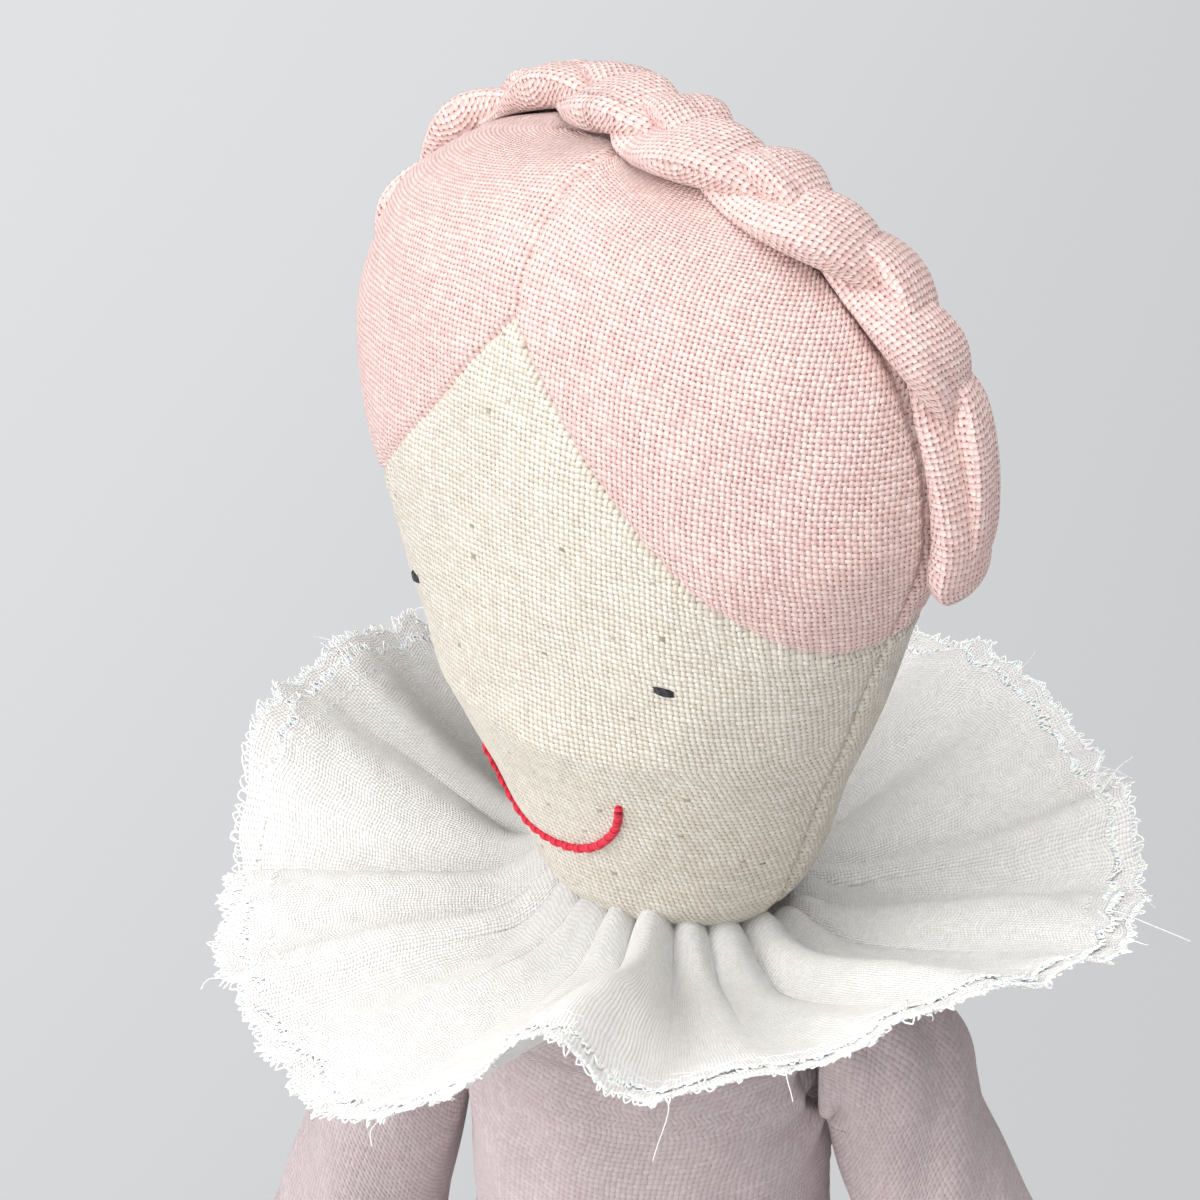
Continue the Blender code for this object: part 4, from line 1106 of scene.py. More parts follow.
def dress_points(angle, share):
    """The dress: narrow at the neck, over the shoulders and down to a wide hem."""
    angle, share = np.broadcast_arrays(angle, share)
    widths = [DRESS_NECK_HALF_WIDTH] + scaled(TORSO_CHEST_HALF_WIDTH + DRESS_EASE, 0.88, 1, 1)
    widths += scaled(DRESS_HEM_HALF_WIDTH, 0.78, 1)
    fold = DRESS_FOLD_DEPTH * share**2 * np.cos(DRESS_FOLDS * angle)
    width = smooth(share, (0, 0.02, 0.06, 0.28, 0.62, 1), widths) + fold
    front = np.sin(angle) < 0
    depth = np.where(front, dress_depth(share, DRESS_LAP_DEPTH), dress_depth(share, DRESS_BACK_DEPTH)) + fold
    height = DRESS_NECK_HEIGHT + (hem_height(angle) - DRESS_NECK_HEIGHT) * share
    shift = NECK_SIDE_OFFSET * (1 - ease(share, 0, 0.12))
    squareness = 0.8 - 0.2 * share
    x = np.copysign(np.abs(np.cos(angle)) ** squareness, np.cos(angle)) * width
    return np.stack([x + shift, np.sin(angle) * depth, height], -1)


def hem_relief(from_edge, stitch_depth, fold_height):
    """A hem folded to the inside: thicker up to its row of stitches, which draws the cloth in."""
    stitches = stitch_depth * hump((from_edge - HEM_FOLD) / HEM_STITCH_WIDTH)
    return fold_height * (1 - ease(from_edge, HEM_FOLD - HEM_FOLD_SOFTNESS, HEM_FOLD)) - stitches


def dress_relief(points, share):
    """How far the dress stands out or in: armhole seams, soft creases and the sewn hem."""
    x, y, z = points[..., 0], points[..., 1], points[..., 2]
    from_hole = np.hypot(y, z - SHOULDER_HEIGHT) - SLEEVE_TOP_RADIUS
    round_hole = np.arctan2(z - SHOULDER_HEIGHT, y)
    tucked = -ARMHOLE_TUCK_DEPTH * (1 - ease(from_hole, *ARMHOLE_TUCK_REACHES))
    pulls = np.cos(ARMHOLE_PULLS * round_hole + ARMHOLE_PULL_LEAN * from_hole)
    pulls = ARMHOLE_PULL_DEPTH * pulls * np.exp(-np.maximum(from_hole, 0) / ARMHOLE_PULL_REACH)
    armhole = (tucked + pulls) * ease(np.abs(x), *ARMHOLE_SIDES)
    narrower, longer = 1.6, 0.6
    creases = DRESS_CREASE_DEPTH * bumps(x * narrower, z, DRESS_CREASE_SIZE, seed=21)
    creases = creases * ease(share, 0.1, 0.3)
    wrinkles = DRESS_WRINKLE_DEPTH * bumps(x, z * longer, DRESS_WRINKLE_SIZE, seed=22)
    down = run_lengths(points, 0)
    hem = hem_relief(down[-1:] - down, DRESS_HEM_STITCH_DEPTH, DRESS_HEM_FOLD_HEIGHT)
    return armhole + creases + wrinkles + hem


def make_dress():
    gap = DRESS_SEAM_GAP / DRESS_LAP_DEPTH
    share = shares(250) ** DRESS_ROW_POWER
    for name, start, node in (("dress_front_cloth", math.pi, "dress_front"),
                              ("dress_back_cloth", 0.0, "dress_back")):
        angle = start + np.linspace(gap, math.pi - gap, 260)[None]
        points = dress_points(angle, share)
        outward = grid_normals(points)
        outward *= np.sign((outward * points * (1, 1, 0)).sum(-1, keepdims=True) + 1e-9)
        dent = seam_dent(side_gaps(points), points[..., 2])
        if node == "dress_back":
            slit = NECK_SLIT_DEPTH * hump(points[..., 0] / NECK_SLIT_WIDTH)
            dent = dent + np.where(points[..., 2] > DRESS_NECK_HEIGHT - NECK_SLIT_LENGTH, slit, 0)
        points = points + outward * (dress_relief(points, share) - dent)[..., None]
        piece = surface(name, points)
        thicken(piece, DRESS_CLOTH, -1)
        dressed(piece, MAUVE_LINEN, "torso", node)


def thicken(piece, thickness, offset=0):
    """Gives a sheet the thickness of its cloth."""
    solidify = piece.modifiers.new("cloth", "SOLIDIFY")
    solidify.thickness = thickness
    solidify.offset = offset


def button_place():
    """Where the button lies on the dress's back, flat against its slope."""
    share = BUTTON_BELOW_NECK / (DRESS_NECK_HEIGHT - DRESS_SIDE_HEM_HEIGHT)
    step = 0.01
    behind = np.array([math.pi / 2])
    here, above, below = (dress_points(behind, np.array([share + s]))[0] for s in (0, -step, step))
    run = above - below
    lean = math.atan2(-run[1], run[2])
    outwards = Vector((0, math.cos(lean), math.sin(lean)))
    middle = Vector(here) + outwards * (BUTTON_THICKNESS / 2 + DRESS_CLOTH / 2)
    return Matrix.Translation(middle) @ Matrix.Rotation(lean - math.radians(90), 4, "X")


def make_button():
    """A shell button with a raised rim and four holes, sewn over the slit at the back."""
    place = button_place()
    share = np.concatenate([np.linspace(0.001, 1, 60), [1, 0.98, 0.001]])[:, None]
    angle = ring(96)
    x, y = BUTTON_RADIUS * share * np.cos(angle), BUTTON_RADIUS * share * np.sin(angle)
    rim = hump((share - BUTTON_RIM_AT_SHARE) / BUTTON_RIM_WIDTH_SHARE)
    rise = (BUTTON_FACE_SHARE + BUTTON_RIM_RISE_SHARE * rim) * np.sqrt(np.clip(1 - share**8, 0, 1))
    for side in (1, -1):
        for end in (1, -1):
            away = np.hypot(x - side * BUTTON_HOLE_AWAY, y - end * BUTTON_HOLE_AWAY)
            rise = rise - BUTTON_HOLE_DEPTH_SHARE * (1 - ease(away, *BUTTON_HOLE_EDGES))
    z = rise * BUTTON_THICKNESS
    under_side = np.array([0.2, 0.5, 0.5])[:, None]
    z[-3:] = -BUTTON_THICKNESS * under_side
    piece = surface("button", moved(stacked(x, y, z), place), wrap=True)
    dressed(piece, SHELL, "torso", "back_button")

    grids = []
    along = np.linspace(-1, 1, 15)
    arch = BUTTON_THREAD_LIFT + BUTTON_THREAD_ARCH * (1 - along**4)
    for side in (1, -1):
        path = np.stack([along * BUTTON_HOLE_AWAY, side * along * BUTTON_HOLE_AWAY, arch], -1)
        grids.append(moved(tube(path, BUTTON_THREAD_RADIUS, 8), place))
    dressed(joined("button_thread", grids), WHITE_THREAD, "torso")


def sleeve_runs(down):
    """How far the sleeve has fanned out round the armpit, and how far it then hangs down."""
    fan = np.minimum(down / SLEEVE_FAN_SHARE, 1)
    return fan, np.maximum(down - SLEEVE_FAN_SHARE, 0) / (1 - SLEEVE_FAN_SHARE)


def sleeve_threads(side, angle, down):
    """The place in the flat sleeve of each point, before it creased."""
    fan, run = sleeve_runs(down)
    turned = (math.pi / 2 - ARM_SPREADS[side]) * fan * SLEEVE_TOP_RADIUS * (1 + np.cos(angle))
    return stacked(angle * SLEEVE_CUFF_RADIUS, turned + SLEEVE_LENGTH * run)


def sleeve_relief(side, angle, down):
    """How far the sleeve stands out or in: its puffed top, armhole tuck, creases and cuff."""
    puff = SLEEVE_PUFF * np.sin(math.pi * np.clip(down / 0.5, 0, 1)) * ease(np.cos(angle), -0.4, 0.6)
    tuck = SLEEVE_TUCK * (1 - ease(down, 0, 0.05))
    along = down * SLEEVE_CREASE_LENGTH
    creases = bumps_round(angle, 1.4 * SLEEVE_CUFF_RADIUS, along, SLEEVE_CREASE_SIZE, seed=30 + side)
    creases = SLEEVE_CREASE_DEPTH * creases * ease(down, 0.02, 0.15)
    pulls = SLEEVE_PULL_DEPTH * np.cos(SLEEVE_PULLS * angle + 2 * down)
    pulls = pulls * np.exp(-down / SLEEVE_PULL_REACH) * ease(down, 0.01, 0.06)
    from_cuff = (1 - down) * (SLEEVE_LENGTH / (1 - SLEEVE_FAN_SHARE))
    hem = hem_relief(from_cuff, SLEEVE_HEM_STITCH_DEPTH, SLEEVE_HEM_FOLD_HEIGHT)
    return puff - tuck + creases + pulls + hem


def sleeve_points(side, angle, down):
    """Rings that fan out from the armpit, from the armhole to the cuff."""
    angle, down = np.broadcast_arrays(angle, down)
    lean = ARM_SPREADS[side]
    chest = TORSO_CHEST_HALF_WIDTH + DRESS_EASE + SLEEVE_OFF_CHEST
    armpit = np.array([chest, 0, SHOULDER_HEIGHT - SLEEVE_TOP_RADIUS])
    fan, run = sleeve_runs(down)
    tilt = (math.pi / 2 - lean) * fan
    spread = np.stack([np.sin(tilt), 0 * tilt, np.cos(tilt)], -1)
    hang = np.array([math.sin(lean), 0, -math.cos(lean)])
    flat = np.array([math.cos(lean), 0, math.sin(lean)])
    widening = (SLEEVE_CUFF_RADIUS - SLEEVE_TOP_RADIUS) * run
    centre = armpit + spread * SLEEVE_TOP_RADIUS + hang * (SLEEVE_LENGTH * run)[..., None]
    flare = flat * (widening / 2)[..., None]
    radius = SLEEVE_TOP_RADIUS + widening + sleeve_relief(side, angle, down)
    sideways = np.stack([0 * angle, radius * np.sin(angle), 0 * angle], -1)
    points = centre + flare + spread * (radius * np.cos(angle))[..., None] + sideways
    return points * (side, 1, 1)


def make_sleeves():
    angle, down = ring(220), shares(170)
    for side, label in SIDES:
        points = sleeve_points(side, angle, down)
        piece = surface(f"sleeve_{label}_cloth", points, sleeve_threads(side, angle, down), wrap=True)
        thicken(piece, DRESS_CLOTH, -1)
        dressed(piece, MAUVE_LINEN, f"upper_arm_{label}", f"sleeve_{label}")


# Limbs


def rounded(distance, radius):
    """The share of a limb's full size that far from its round end."""
    t = np.clip(distance / radius, 0, 1)
    return np.sqrt(np.clip(1 - (1 - t) ** 2, 0, 1))


def pinched(distance, length, full):
    """Half a limb's thickness that far from a fold, where it is sewn flat."""
    t = np.clip(distance / length, 0, 1)
    return SEWN_EDGE + (full - SEWN_EDGE) * np.sin(t * math.pi / 2)


def skin_points(matrix, distance, width, thick, shift, folds):
    """A limb's cloth down its own -Z, with a seam on both sides and wrinkles at its folds."""
    angle = ring(80)
    distance, width, thick, shift = (np.asarray(v)[:, None] for v in (distance, width, thick, shift))
    dent = seam_dent(np.abs(np.sin(angle)) * width, distance) * np.minimum(thick / ARM_RADIUS, 1)
    near = sum(np.exp(-np.abs(distance - place) / FOLD_GATHER_REACH) for place in folds)
    plump = np.minimum(thick / (3 * SEWN_EDGE), 1)
    gathers = FOLD_GATHER_DEPTH * near * np.cos(FOLD_GATHERS * angle + FOLD_GATHER_LEAN * distance)
    lumps = LIMB_LUMP_HEIGHT * bumps_round(angle, CALF_RADIUS, distance, LIMB_LUMP_SIZE, seed=41)
    swell = (gathers + lumps) * plump
    x = (width + swell - dent) * np.cos(angle)
    y = shift + (thick + swell * np.minimum(1, thick / CALF_RADIUS)) * np.sin(angle)
    points = moved(stacked(x, y, -distance), matrix)
    points[..., 2] = np.maximum(points[..., 2], LEAST_HEIGHT)
    return points


def fold_stitches(name, matrix, half_width):
    """A row of stitches across a limb, on both of its faces."""
    row = half_width * FOLD_ROW_SHARE
    count = round(2 * row / FOLD_STITCH)
    share = np.linspace(-1, 1, 7)
    grids = []
    for face in (1, -1):
        for mark in (np.arange(count) + 0.5) / count * 2 - 1:
            x = mark * row + share * FOLD_STITCH_HALF_LENGTH
            y = face * (SEWN_EDGE + FOLD_STITCH_LIFT + FOLD_STITCH_ARCH * (1 - share**2))
            grids.append(moved(tube(stacked(x, y, 0), FOLD_STITCH_RADIUS, 6), matrix))
    return joined(name, grids)


def spaced(*marks):
    """Distances that lie closer together near each mark."""
    runs = [(1 - np.cos(np.linspace(0, math.pi, 60))) / 2 * (b - a) + a for a, b in zip(marks, marks[1:])]
    return np.unique(np.concatenate(runs))


def finish_limb(name, points, nodes, stitches, fold, turn, half_width):
    """Makes a limb's cloth and the stitches across its fold."""
    piece = surface(name, points, wrap=True)
    dressed(piece, NATURAL_LINEN, None, nodes)
    thread = fold_stitches(stitches, Matrix.Translation(fold) @ turn, half_width)
    dressed(thread, WHITE_THREAD, None)
    for item in (piece, thread):
        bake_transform(item)


def make_arms():
    """Each arm is even down to its wrist, flat where it is sewn at the elbow, and ends in a hand."""
    for side, label in SIDES:
        spread = ARM_SPREADS[side]
        turn = Matrix.Rotation(-side * spread, 4, "Y")
        shoulder = Vector((side * SHOULDER_SIDE, 0, SHOULDER_HEIGHT))
        direction = Vector((side * math.sin(spread), 0, -math.cos(spread)))
        elbow = shoulder + direction * UPPER_ARM_LENGTH
        bend = ARM_ABOVE_SHOULDER + UPPER_ARM_LENGTH
        total = bend + FOREARM_LENGTH
        distance = spaced(0, bend, total)
        lower = distance - bend
        share = np.clip(lower / FOREARM_LENGTH, 0, 1)
        stations = (0, 0.3, 0.68, 0.86, 1)
        arm = (ARM_RADIUS, ARM_RADIUS, WRIST_RADIUS)
        width = smooth(share, stations, arm + (HAND_HALF_WIDTH, HAND_HALF_WIDTH))
        thick = smooth(share, stations, arm + (HAND_HALF_THICKNESS, HAND_HALF_THICKNESS))
        ends = rounded(distance, ARM_RADIUS) * rounded(total - distance, HAND_HALF_WIDTH)
        width = width * ends
        thick = pinched(np.abs(lower), ARM_PINCH, thick) * ends
        start = Matrix.Translation(shoulder - direction * ARM_ABOVE_SHOULDER) @ turn
        points = skin_points(start, distance, width, thick, 0 * distance, [bend])
        nodes = (f"upper_arm_{label}", f"forearm_{label}")
        stitches = f"elbow_stitches_{label}"
        finish_limb(f"arm_{label}", points, nodes, stitches, elbow, turn, ARM_RADIUS)


def make_legs():
    """Each leg is flat where it is sewn at the hip and the knee, and ends in a foot with its toes up."""
    for side, label in SIDES:
        turn = Matrix.Rotation(side * LEG_SPLAY, 4, "Z") @ Matrix.Rotation(math.radians(-90), 4, "X")
        hip = Vector((side * HIP_SIDE, -HIP_FRONT, HIP_HEIGHT))
        ahead = Vector((side * math.sin(LEG_SPLAY), -math.cos(LEG_SPLAY), 0))
        knee = hip + ahead * THIGH_LENGTH
        knee.z = KNEE_HEIGHT
        total = THIGH_LENGTH + LOWER_LEG_LENGTH
        distance = spaced(0, THIGH_LENGTH, total)
        lower = distance - THIGH_LENGTH
        in_thigh = lower <= 0

        raised = THIGH_RADIUS - SEAT_FLAT - HIP_HEIGHT
        at_knee = KNEE_HEIGHT - HIP_HEIGHT
        thigh_thick = np.minimum(
            pinched(distance, LEG_PINCH, THIGH_RADIUS), pinched(-lower, LEG_PINCH, THIGH_RADIUS)
        )
        thigh_shift = -raised * ease(distance, 0, LEG_PINCH)
        thigh_shift = thigh_shift + (raised - at_knee) * ease(lower, -LEG_PINCH, 0)
        swell = np.sin(math.pi * np.clip(distance / THIGH_LENGTH, 0, 1))
        thigh_width = CALF_RADIUS + (THIGH_RADIUS - CALF_RADIUS) * swell

        share = np.clip(lower / LOWER_LEG_LENGTH, 0, 1)
        stations = (0, 0.3, 0.72, 0.88, 1)
        end = rounded(total - distance, FOOT_HALF_WIDTH)
        widths = (CALF_RADIUS, CALF_RADIUS, ANKLE_RADIUS, FOOT_HALF_WIDTH, FOOT_HALF_WIDTH)
        thicks = (CALF_RADIUS, CALF_RADIUS, ANKLE_RADIUS, FOOT_HALF_LENGTH, FOOT_HALF_LENGTH)
        toe_lift = FOOT_HALF_LENGTH - CALF_RADIUS
        shifts = (0, 0, CALF_RADIUS - ANKLE_RADIUS, -toe_lift, -toe_lift)
        calf_thick = pinched(lower, LEG_PINCH, smooth(share, stations, thicks)) * end

        width = np.where(in_thigh, thigh_width, smooth(share, stations, widths) * end)
        thick = np.where(in_thigh, thigh_thick, calf_thick)
        shift = np.where(in_thigh, thigh_shift, smooth(share, stations, shifts) - at_knee)
        start = Matrix.Translation(hip) @ turn
        points = skin_points(start, distance, width, thick, shift, [0, THIGH_LENGTH])
        nodes = (f"thigh_{label}", f"lower_leg_{label}")
        stitches = f"knee_stitches_{label}"
        finish_limb(f"leg_{label}", points, nodes, stitches, knee, turn, CALF_RADIUS)


# Collar


RIM_ANGLES = (-178, -152, -136, -123, -107, -102, -97, -92, -87, -83, -76, -69, -61, -53, -47, -25, -9,
              12, 22, 36, 52, 61, 90, 120, 149, 161, 173)
RIM_RISES = (-0.004, -0.004, -0.0045, -0.0057, 0.005, 0.009, 0.0123, 0.0126, 0.0087, 0.0078, 0.0099,
             0.0127, 0.0136, 0.0155, 0.0155, 0.0113, 0.0053, 0.0038, 0.0092, 0.0071, 0.0109, 0.0105,
             0.009, 0.012, 0.014, 0.014, 0.0118)
PROFILE_REACHES = (0.0, 0.0007, 0.0018, 0.0034, 0.0062, 0.0105, 0.017, 0.029, 0.0435)
PROFILE_LEVELS = (-0.0024, 0.0010, 0.0024, 0.0020, 0.0002, -0.0009, 0.0002, 0.0036, 0.0080)
GATHER_REACHES = (0.0, 0.0012, 0.0035, 0.008, 0.015, 0.026, 0.044)
GATHER_DEPTHS = (0.0003, 0.0009, 0.0017, 0.0012, 0.0005, 0.0002, 0.0)
PLEAT_REACHES = (0.0, 0.005, 0.013, 0.023, 0.034, 0.044)
PLEAT_DEPTHS = (0.0, 0.0006, 0.0018, 0.0020, 0.0015, 0.0008)
WAVE_REACHES = (0.0, 0.011, 0.025, 0.036, 0.044)
WAVE_DEPTHS = (0.0, 0.0006, 0.0021, 0.0015, 0.0006)
EDGE_REACHES = (0.0, 0.020, 0.034, 0.044)
EDGE_DEPTHS = (0.0, 0.0002, 0.0006, 0.0013)
GATHER_WANDER = 0.035
GATHER_UNEVENNESS = 0.4
GATHER_ROUNDNESS = 0.8
GATHER_SPAN = 1.9
GATHER_LOW = 1.1
PLEAT_LEAN = 0.6
PLEAT_LEAN_FROM = 0.02
WAVE_LEAN = 1.5
WAVE_LEAN_FROM = 0.03
WRINKLE_DEPTH = 0.00030
WRINKLE_SIZE = 0.012
CRUSH_DEPTH = 0.00013
CRUSH_SIZE = 0.004
RAGGED_DEPTH = 0.0007
SPREAD_FROM = 0.005
SPREAD_LENGTH = 0.038
SPREAD_POWER = 1.4
LAYERS_CLOSING_SHARE = 0.62
EVEN_ROWS_SHARE = 0.55


def chin_reach(turn):
    """How far the ruffles' inner edge is from the neck's middle, all round the turned chin."""
    turned = turn - HEAD_TURN
    return 1 / np.sqrt((np.cos(turned) / CHIN_HALF_WIDTH) ** 2 + (np.sin(turned) / CHIN_HALF_DEPTH) ** 2)


def rim_rise(angle):
    """How high the collar's rim is above the chin, all the way round."""
    degrees = np.degrees(np.angle(np.exp(1j * angle)))
    marks = np.array(RIM_ANGLES + (RIM_ANGLES[0] + 360,), float)
    rises = np.array(RIM_RISES + (RIM_RISES[0],))
    degrees = np.where(degrees < marks[0], degrees + 360, degrees)
    return smooth(degrees, marks, rises)


def angle_noise(turn, counts, seed):
    """A wandering value round the collar, about -1 to 1."""
    source = np.random.default_rng(seed)
    total = np.zeros(np.shape(turn))
    for count in counts:
        total = total + source.uniform(0.6, 1.0) * np.sin(count * turn + source.uniform(0, FULL_TURN))
    return total / math.sqrt(len(counts))


def ruffle_folds(turn, radius, reach):
    """The ruffle's folds: tight gathers at the neck, then pleats, then broad waves and a wavy edge."""
    wander = turn + GATHER_WANDER * angle_noise(turn, (3, 5, 8, 11), 1)
    size = 1 + GATHER_UNEVENNESS * angle_noise(turn, (4, 7, 9), 2)
    arches = np.abs(np.sin(COLLAR_GATHERS * wander)) ** GATHER_ROUNDNESS
    gather = (GATHER_SPAN * arches - GATHER_LOW) * size
    pleat = angle_noise(wander + PLEAT_LEAN * (radius - PLEAT_LEAN_FROM), (11, 13, 17, 19), 3)
    wave = angle_noise(turn + WAVE_LEAN * (radius - WAVE_LEAN_FROM), (5, 7, 9), 4)
    edge = angle_noise(turn, (11, 15, 19, 26), 5)
    folds = gather * smooth(reach, GATHER_REACHES, GATHER_DEPTHS)
    folds = folds + pleat * smooth(reach, PLEAT_REACHES, PLEAT_DEPTHS)
    folds = folds + wave * smooth(reach, WAVE_REACHES, WAVE_DEPTHS)
    return folds + edge * smooth(reach, EDGE_REACHES, EDGE_DEPTHS)


def ruffle_base(turn, reach, out_share):
    """The ruffle without its folds: up against the chin, lower behind the neck, then out to the rim."""
    behind = np.sin(turn - HEAD_TURN)
    tuck = ease(-behind, 0, 0.8) * hump((reach - CHIN_TUCK_REACH) / CHIN_TUCK_REACH)
    room = ease(behind, -0.2, 0.5) * hump(reach / NAPE_ROOM_REACH)
    base = smooth(reach, PROFILE_REACHES, PROFILE_LEVELS) + CHIN_TUCK_RISE * tuck - NAPE_ROOM * room
    return base + (rim_rise(turn) - COLLAR_MEAN_RISE) * out_share**SPREAD_POWER


def ruffle_level(turn, radius, above, loose):
    """The ruffle's height over the chin. The layers close on each other towards the rim."""
    reach = radius - chin_reach(turn)
    out_share = np.clip((reach - SPREAD_FROM) / SPREAD_LENGTH, 0, 1)
    x, y = radius * np.cos(turn), radius * np.sin(turn)
    wrinkles = WRINKLE_DEPTH * bumps(x, y, WRINKLE_SIZE, 6)
    crush = CRUSH_DEPTH * bumps(x, y, CRUSH_SIZE, 8 + loose)
    level = ruffle_base(turn, reach, out_share) + ruffle_folds(turn, radius, reach)
    return level + (wrinkles + crush) * out_share + above * (1 - LAYERS_CLOSING_SHARE * out_share)


def ruffle_grid(rim_radius, turn, above, loose):
    """A ruffle's points, and how far each is from the gathered edge in the flat cloth."""
    share = shares(96)
    crowded = (1 - np.cos(math.pi * share)) / 2
    share = EVEN_ROWS_SHARE * share + (1 - EVEN_ROWS_SHARE) * crowded
    ragged = RAGGED_DEPTH * angle_noise(turn, (13, 31, 44, 57, 73), 11 + loose)
    inner = chin_reach(turn)
    radius = inner + (rim_radius + ragged - inner) * share
    points = around_neck(turn, radius, CHIN_HEIGHT + ruffle_level(turn, radius, above, loose))
    return points, share * (rim_radius - COLLAR_INNER_RADIUS)


def make_ruffle(label, rim_radius, above, loose):
    cols = 1200
    points, out = ruffle_grid(rim_radius, ring(cols), above, loose)
    threads = stacked(np.linspace(0, FULL_TURN, cols + 1)[None] * rim_radius, out)
    piece = surface(f"collar_{label}", points, threads, wrap=True)
    thicken(piece, COLLAR_CLOTH)
    dressed(piece, WHITE_COTTON, "torso", f"collar_{label}_ruffle")
    make_zigzag(label, rim_radius, above, loose)
    make_fringe(label, points, loose)


def make_zigzag(label, rim_radius, above, loose):
    """The overlock line sewn along the ruffle, a little in from its raw edge."""
    middle = rim_radius - ZIGZAG_FROM_EDGE
    count = 2 * round(math.pi * middle / ZIGZAG_STEP)
    number = np.arange(count + 1)
    turn = number / count * FULL_TURN
    radius = middle + ZIGZAG_HALF_HEIGHT * np.where(number % 2 == 0, 1, -1)
    level = ruffle_level(turn, radius, above, loose) + COLLAR_CLOTH / 2 + ZIGZAG_LIFT
    path = around_neck(turn, radius, CHIN_HEIGHT + level)
    piece = joined(f"collar_{label}_zigzag", [tube(path, ZIGZAG_THREAD_RADIUS, 4)])
    dressed(piece, WHITE_THREAD, "torso")


def fray(start, end, out, length, source):
    """One small loop of thread that stands out of a raw edge."""
    jitter = source.normal(0, FRINGE_JITTER, (3, 3)) * length
    marks = np.array([
        start - out * FRINGE_ROOT,
        start + out * length * 0.55 + jitter[0] * 0.5,
        (start + end) / 2 + out * length + jitter[1],
        end + out * length * 0.5 + jitter[2] * 0.5,
        end - out * FRINGE_ROOT,
    ])
    share = np.linspace(0, 1, 9)
    path = np.stack([smooth(share, np.linspace(0, 1, 5), marks[:, i]) for i in range(3)], -1)
    return tube(path, FRINGE_THREAD_RADIUS, 5)


def loose_thread(root, out, number, source):
    """One longer thread that has come out of a raw edge and curls away from it."""
    length = source.uniform(*LOOSE_THREAD_LENGTHS)
    curl = source.normal(0, LOOSE_THREAD_CURL, 3)
    share = shares(16)
    path = root - out * LOOSE_THREAD_ROOT + out * length * share + curl * length * share**2
    path[:, 2] += LOOSE_THREAD_ARCH * np.sin(math.pi * share[:, 0])
    path += np.cross(out, (0, 0, 1)) * LOOSE_THREAD_WAVE * np.sin(5 * share + number)
    return tube(path, np.linspace(*LOOSE_THREAD_RADII, 16), 5)


def make_fringe(label, points, seed):
    """Frayed loops along a ruffle's raw edge, and a few threads that have come loose."""
    source = np.random.default_rng(seed + 50)
    rim = points[-1]
    outward = unit(rim - points[-6])
    grids = []
    for number in range(FRINGE_LOOPS):
        first = int(number * len(rim) / FRINGE_LOOPS + source.uniform(0, 1)) % len(rim)
        second = (first + source.integers(1, 4)) % len(rim)
        out = outward[first] + source.normal(0, FRINGE_TURNED_ASIDE, 3)
        grids.append(fray(rim[first], rim[second], out, source.uniform(*FRINGE_LENGTHS), source))
    for _ in range(LOOSE_THREADS):
        first = source.integers(len(rim))
        grids.append(loose_thread(rim[first], outward[first], first, source))
    piece = joined(f"collar_{label}_fringe", grids)
    dressed(piece, WHITE_THREAD, "torso")


def make_gathering_thread():
    turn = np.linspace(0, FULL_TURN, 181)
    radius = NECK_RADIUS + GATHERING_THREAD_RADIUS + GATHERING_THREAD_GAP
    path = around_neck(turn, radius, CHIN_HEIGHT - GATHERING_THREAD_BELOW_CHIN)
    piece = joined("gathering_thread", [tube(path, GATHERING_THREAD_RADIUS, 8)])
    dressed(piece, WHITE_THREAD, "torso", "collar_gathering_thread")


def make_collar():
    make_ruffle("upper", COLLAR_RIM_RADIUS - COLLAR_UPPER_SHORTER, COLLAR_LAYER_RISE, 0)
    make_ruffle("lower", COLLAR_RIM_RADIUS, 0.0, 1)
    make_gathering_thread()


# Stage

# The floor's look to the camera is painted light: a glow fading from FLOOR_LEFT on the key lamp's side to
# FLOOR_RIGHT away from it, as the lamp's light would fall off.
FLOOR_COLOUR = rgb(214, 215, 217)
FLOOR_LEFT = rgb(229, 230, 232)
FLOOR_RIGHT = rgb(195, 196, 198)
FLOOR_FADE = (-0.45, 0.12)
FLOOR_FADE_SLANT = -0.2
FLOOR_GLOW_SHARE = 0.8
FLOOR_REACH = 6.0
LAMP_COLOUR = (1.0, 0.99, 0.98)
LAMP_AIM = (0, 0, 0.15)
LAMPS = (
    ("key", (-2.25, -1.35, 1.4), 2.2, 66.0),
    ("top", (0.2, -0.3, 1.5), 1.2, 16.0),
    ("fill", (-0.3, -1.6, 0.15), 1.2, 9.0),
)
ROOM_COLOUR = (1.0, 0.975, 0.975, 1)
ROOM_STRENGTH = 0.32


def mixed_shaders(tree, share, first, second):
    node = tree.nodes.new("ShaderNodeMixShader")
    for socket, value in zip(node.inputs, (share, first, second)):
        tree.links.new(value, socket)
    return node.outputs[0]


def seen_by_camera(tree):
    """1 for what the camera sees straight, and 0 for light on its way between things."""
    return tree.nodes.new("ShaderNodeLightPath").outputs["Is Camera Ray"]


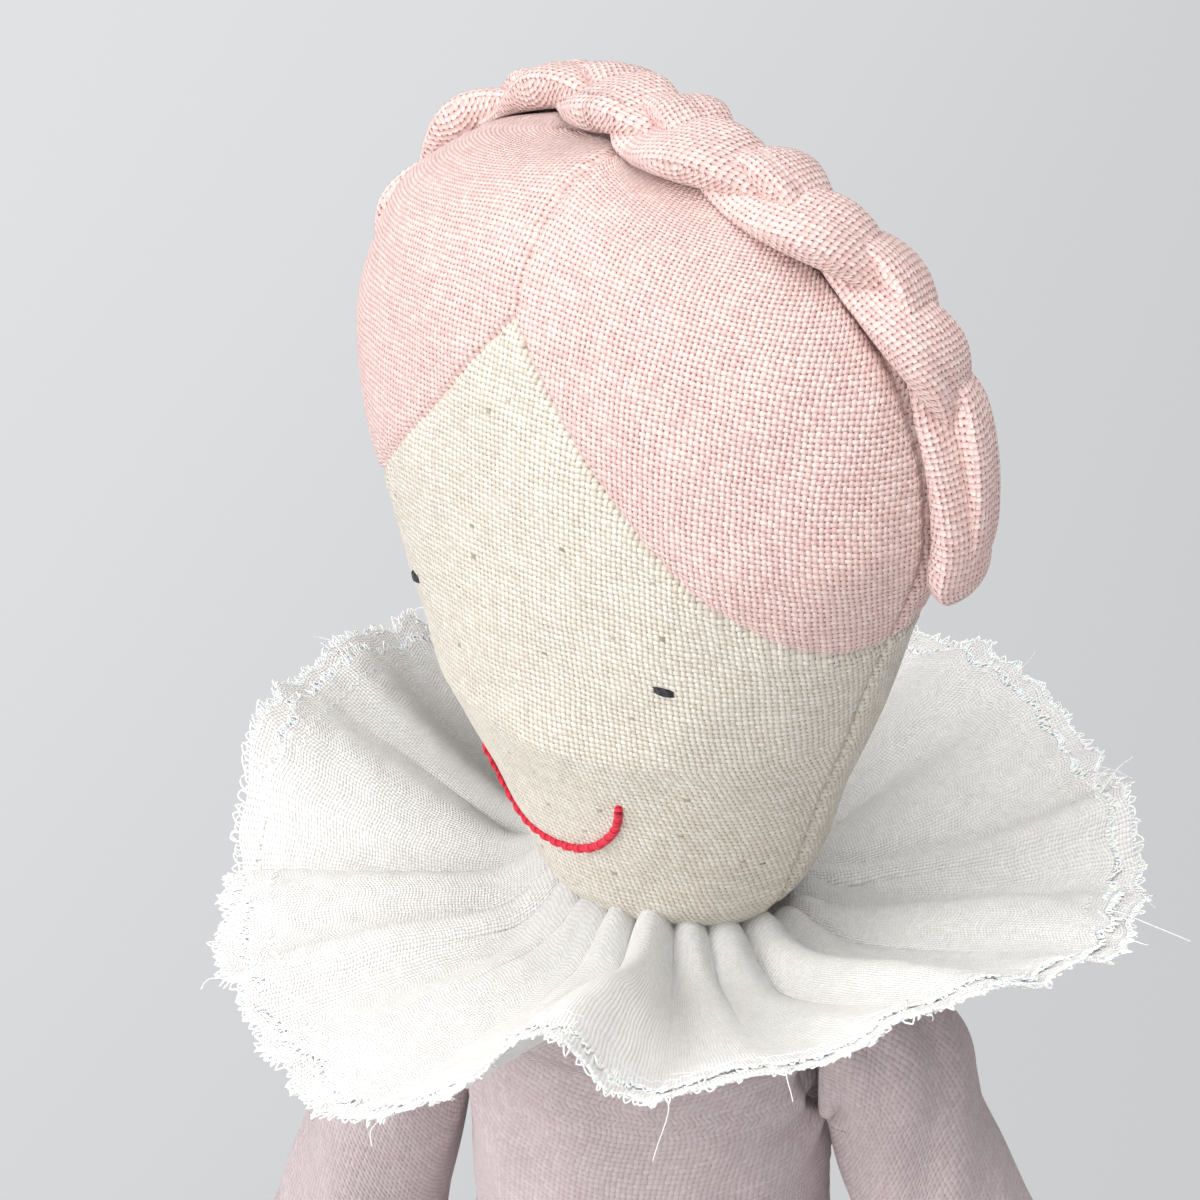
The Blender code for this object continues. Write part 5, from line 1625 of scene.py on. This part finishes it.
def make_stage():
    """A pale floor whose look to the camera fades gently from left to right: a painted glow, brighter on the
    key lamp's side and darker away from it, in place of the lamp's falloff.
    """
    graph = Graph("floor")
    tree = graph.tree
    constants = {"Base Color": FLOOR_COLOUR, "Roughness": 0.9, "Specular IOR Level": 0.1}
    set_constants(graph.shader, constants)
    x, y = graph.split(graph.add("TexCoord")["Object"])
    fade = graph.math("MULTIPLY_ADD", y, FLOOR_FADE_SLANT, x)
    # Painted light: the glow's colour fades with the distance from the key lamp's side.
    glow = tree.nodes.new("ShaderNodeEmission")
    graph.feed(glow.inputs["Color"], graph.mix(graph.spread(fade, *FLOOR_FADE), FLOOR_LEFT, FLOOR_RIGHT))
    share = graph.math("MULTIPLY", seen_by_camera(tree), FLOOR_GLOW_SHARE)
    look = mixed_shaders(tree, share, graph.shader.outputs[0], glow.outputs[0])
    graph.feed(tree.nodes["Material Output"].inputs["Surface"], look)
    ends = np.array([-FLOOR_REACH, FLOOR_REACH])
    floor = surface("floor", stacked(ends[None], ends[:, None], 0.0))
    floor.data.materials.append(graph.material)


def make_lamp(name, place, size, power):
    light = bpy.data.lights.new(name, "AREA")
    light.shape = "DISK"
    light.size = size
    light.energy = power
    light.color = LAMP_COLOUR
    lamp = linked(name, light)
    lamp.location = place
    lamp.rotation_euler = (Vector(LAMP_AIM) - Vector(place)).to_track_quat("-Z", "Y").to_euler()


def make_lights():
    """Three soft lamps in an evenly lit room, which the camera sees in the floor's colour."""
    for lamp in LAMPS:
        make_lamp(*lamp)
    world = bpy.data.worlds.new("soft_room")
    world.use_nodes = True
    tree = world.node_tree
    room = tree.nodes["Background"]
    set_constants(room, {"Color": ROOM_COLOUR, "Strength": ROOM_STRENGTH})
    wall = tree.nodes.new("ShaderNodeBackground")
    set_constants(wall, {"Color": FLOOR_LEFT})
    look = mixed_shaders(tree, seen_by_camera(tree), room.outputs[0], wall.outputs[0])
    tree.links.new(look, tree.nodes["World Output"].inputs["Surface"])
    bpy.context.scene.world = world


def make_camera():
    camera = bpy.data.cameras.new("camera")
    camera.lens = CAMERA_LENS
    camera.sensor_width = 36
    item = linked("camera", camera)
    item.location = Vector((NECK_SIDE_OFFSET, 0, CHIN_HEIGHT)) + Vector(CAMERA_FROM_CHIN)
    item.rotation_euler = CAMERA_TURN
    bpy.context.scene.camera = item
    bpy.context.scene.view_settings.view_transform = "Standard"


make_camera()
make_stage()
make_lights()
make_head()
make_eyes()
make_mouth()
make_braid()
make_neck()
make_torso()
make_dress()
make_button()
make_sleeves()
make_arms()
make_legs()
make_collar()
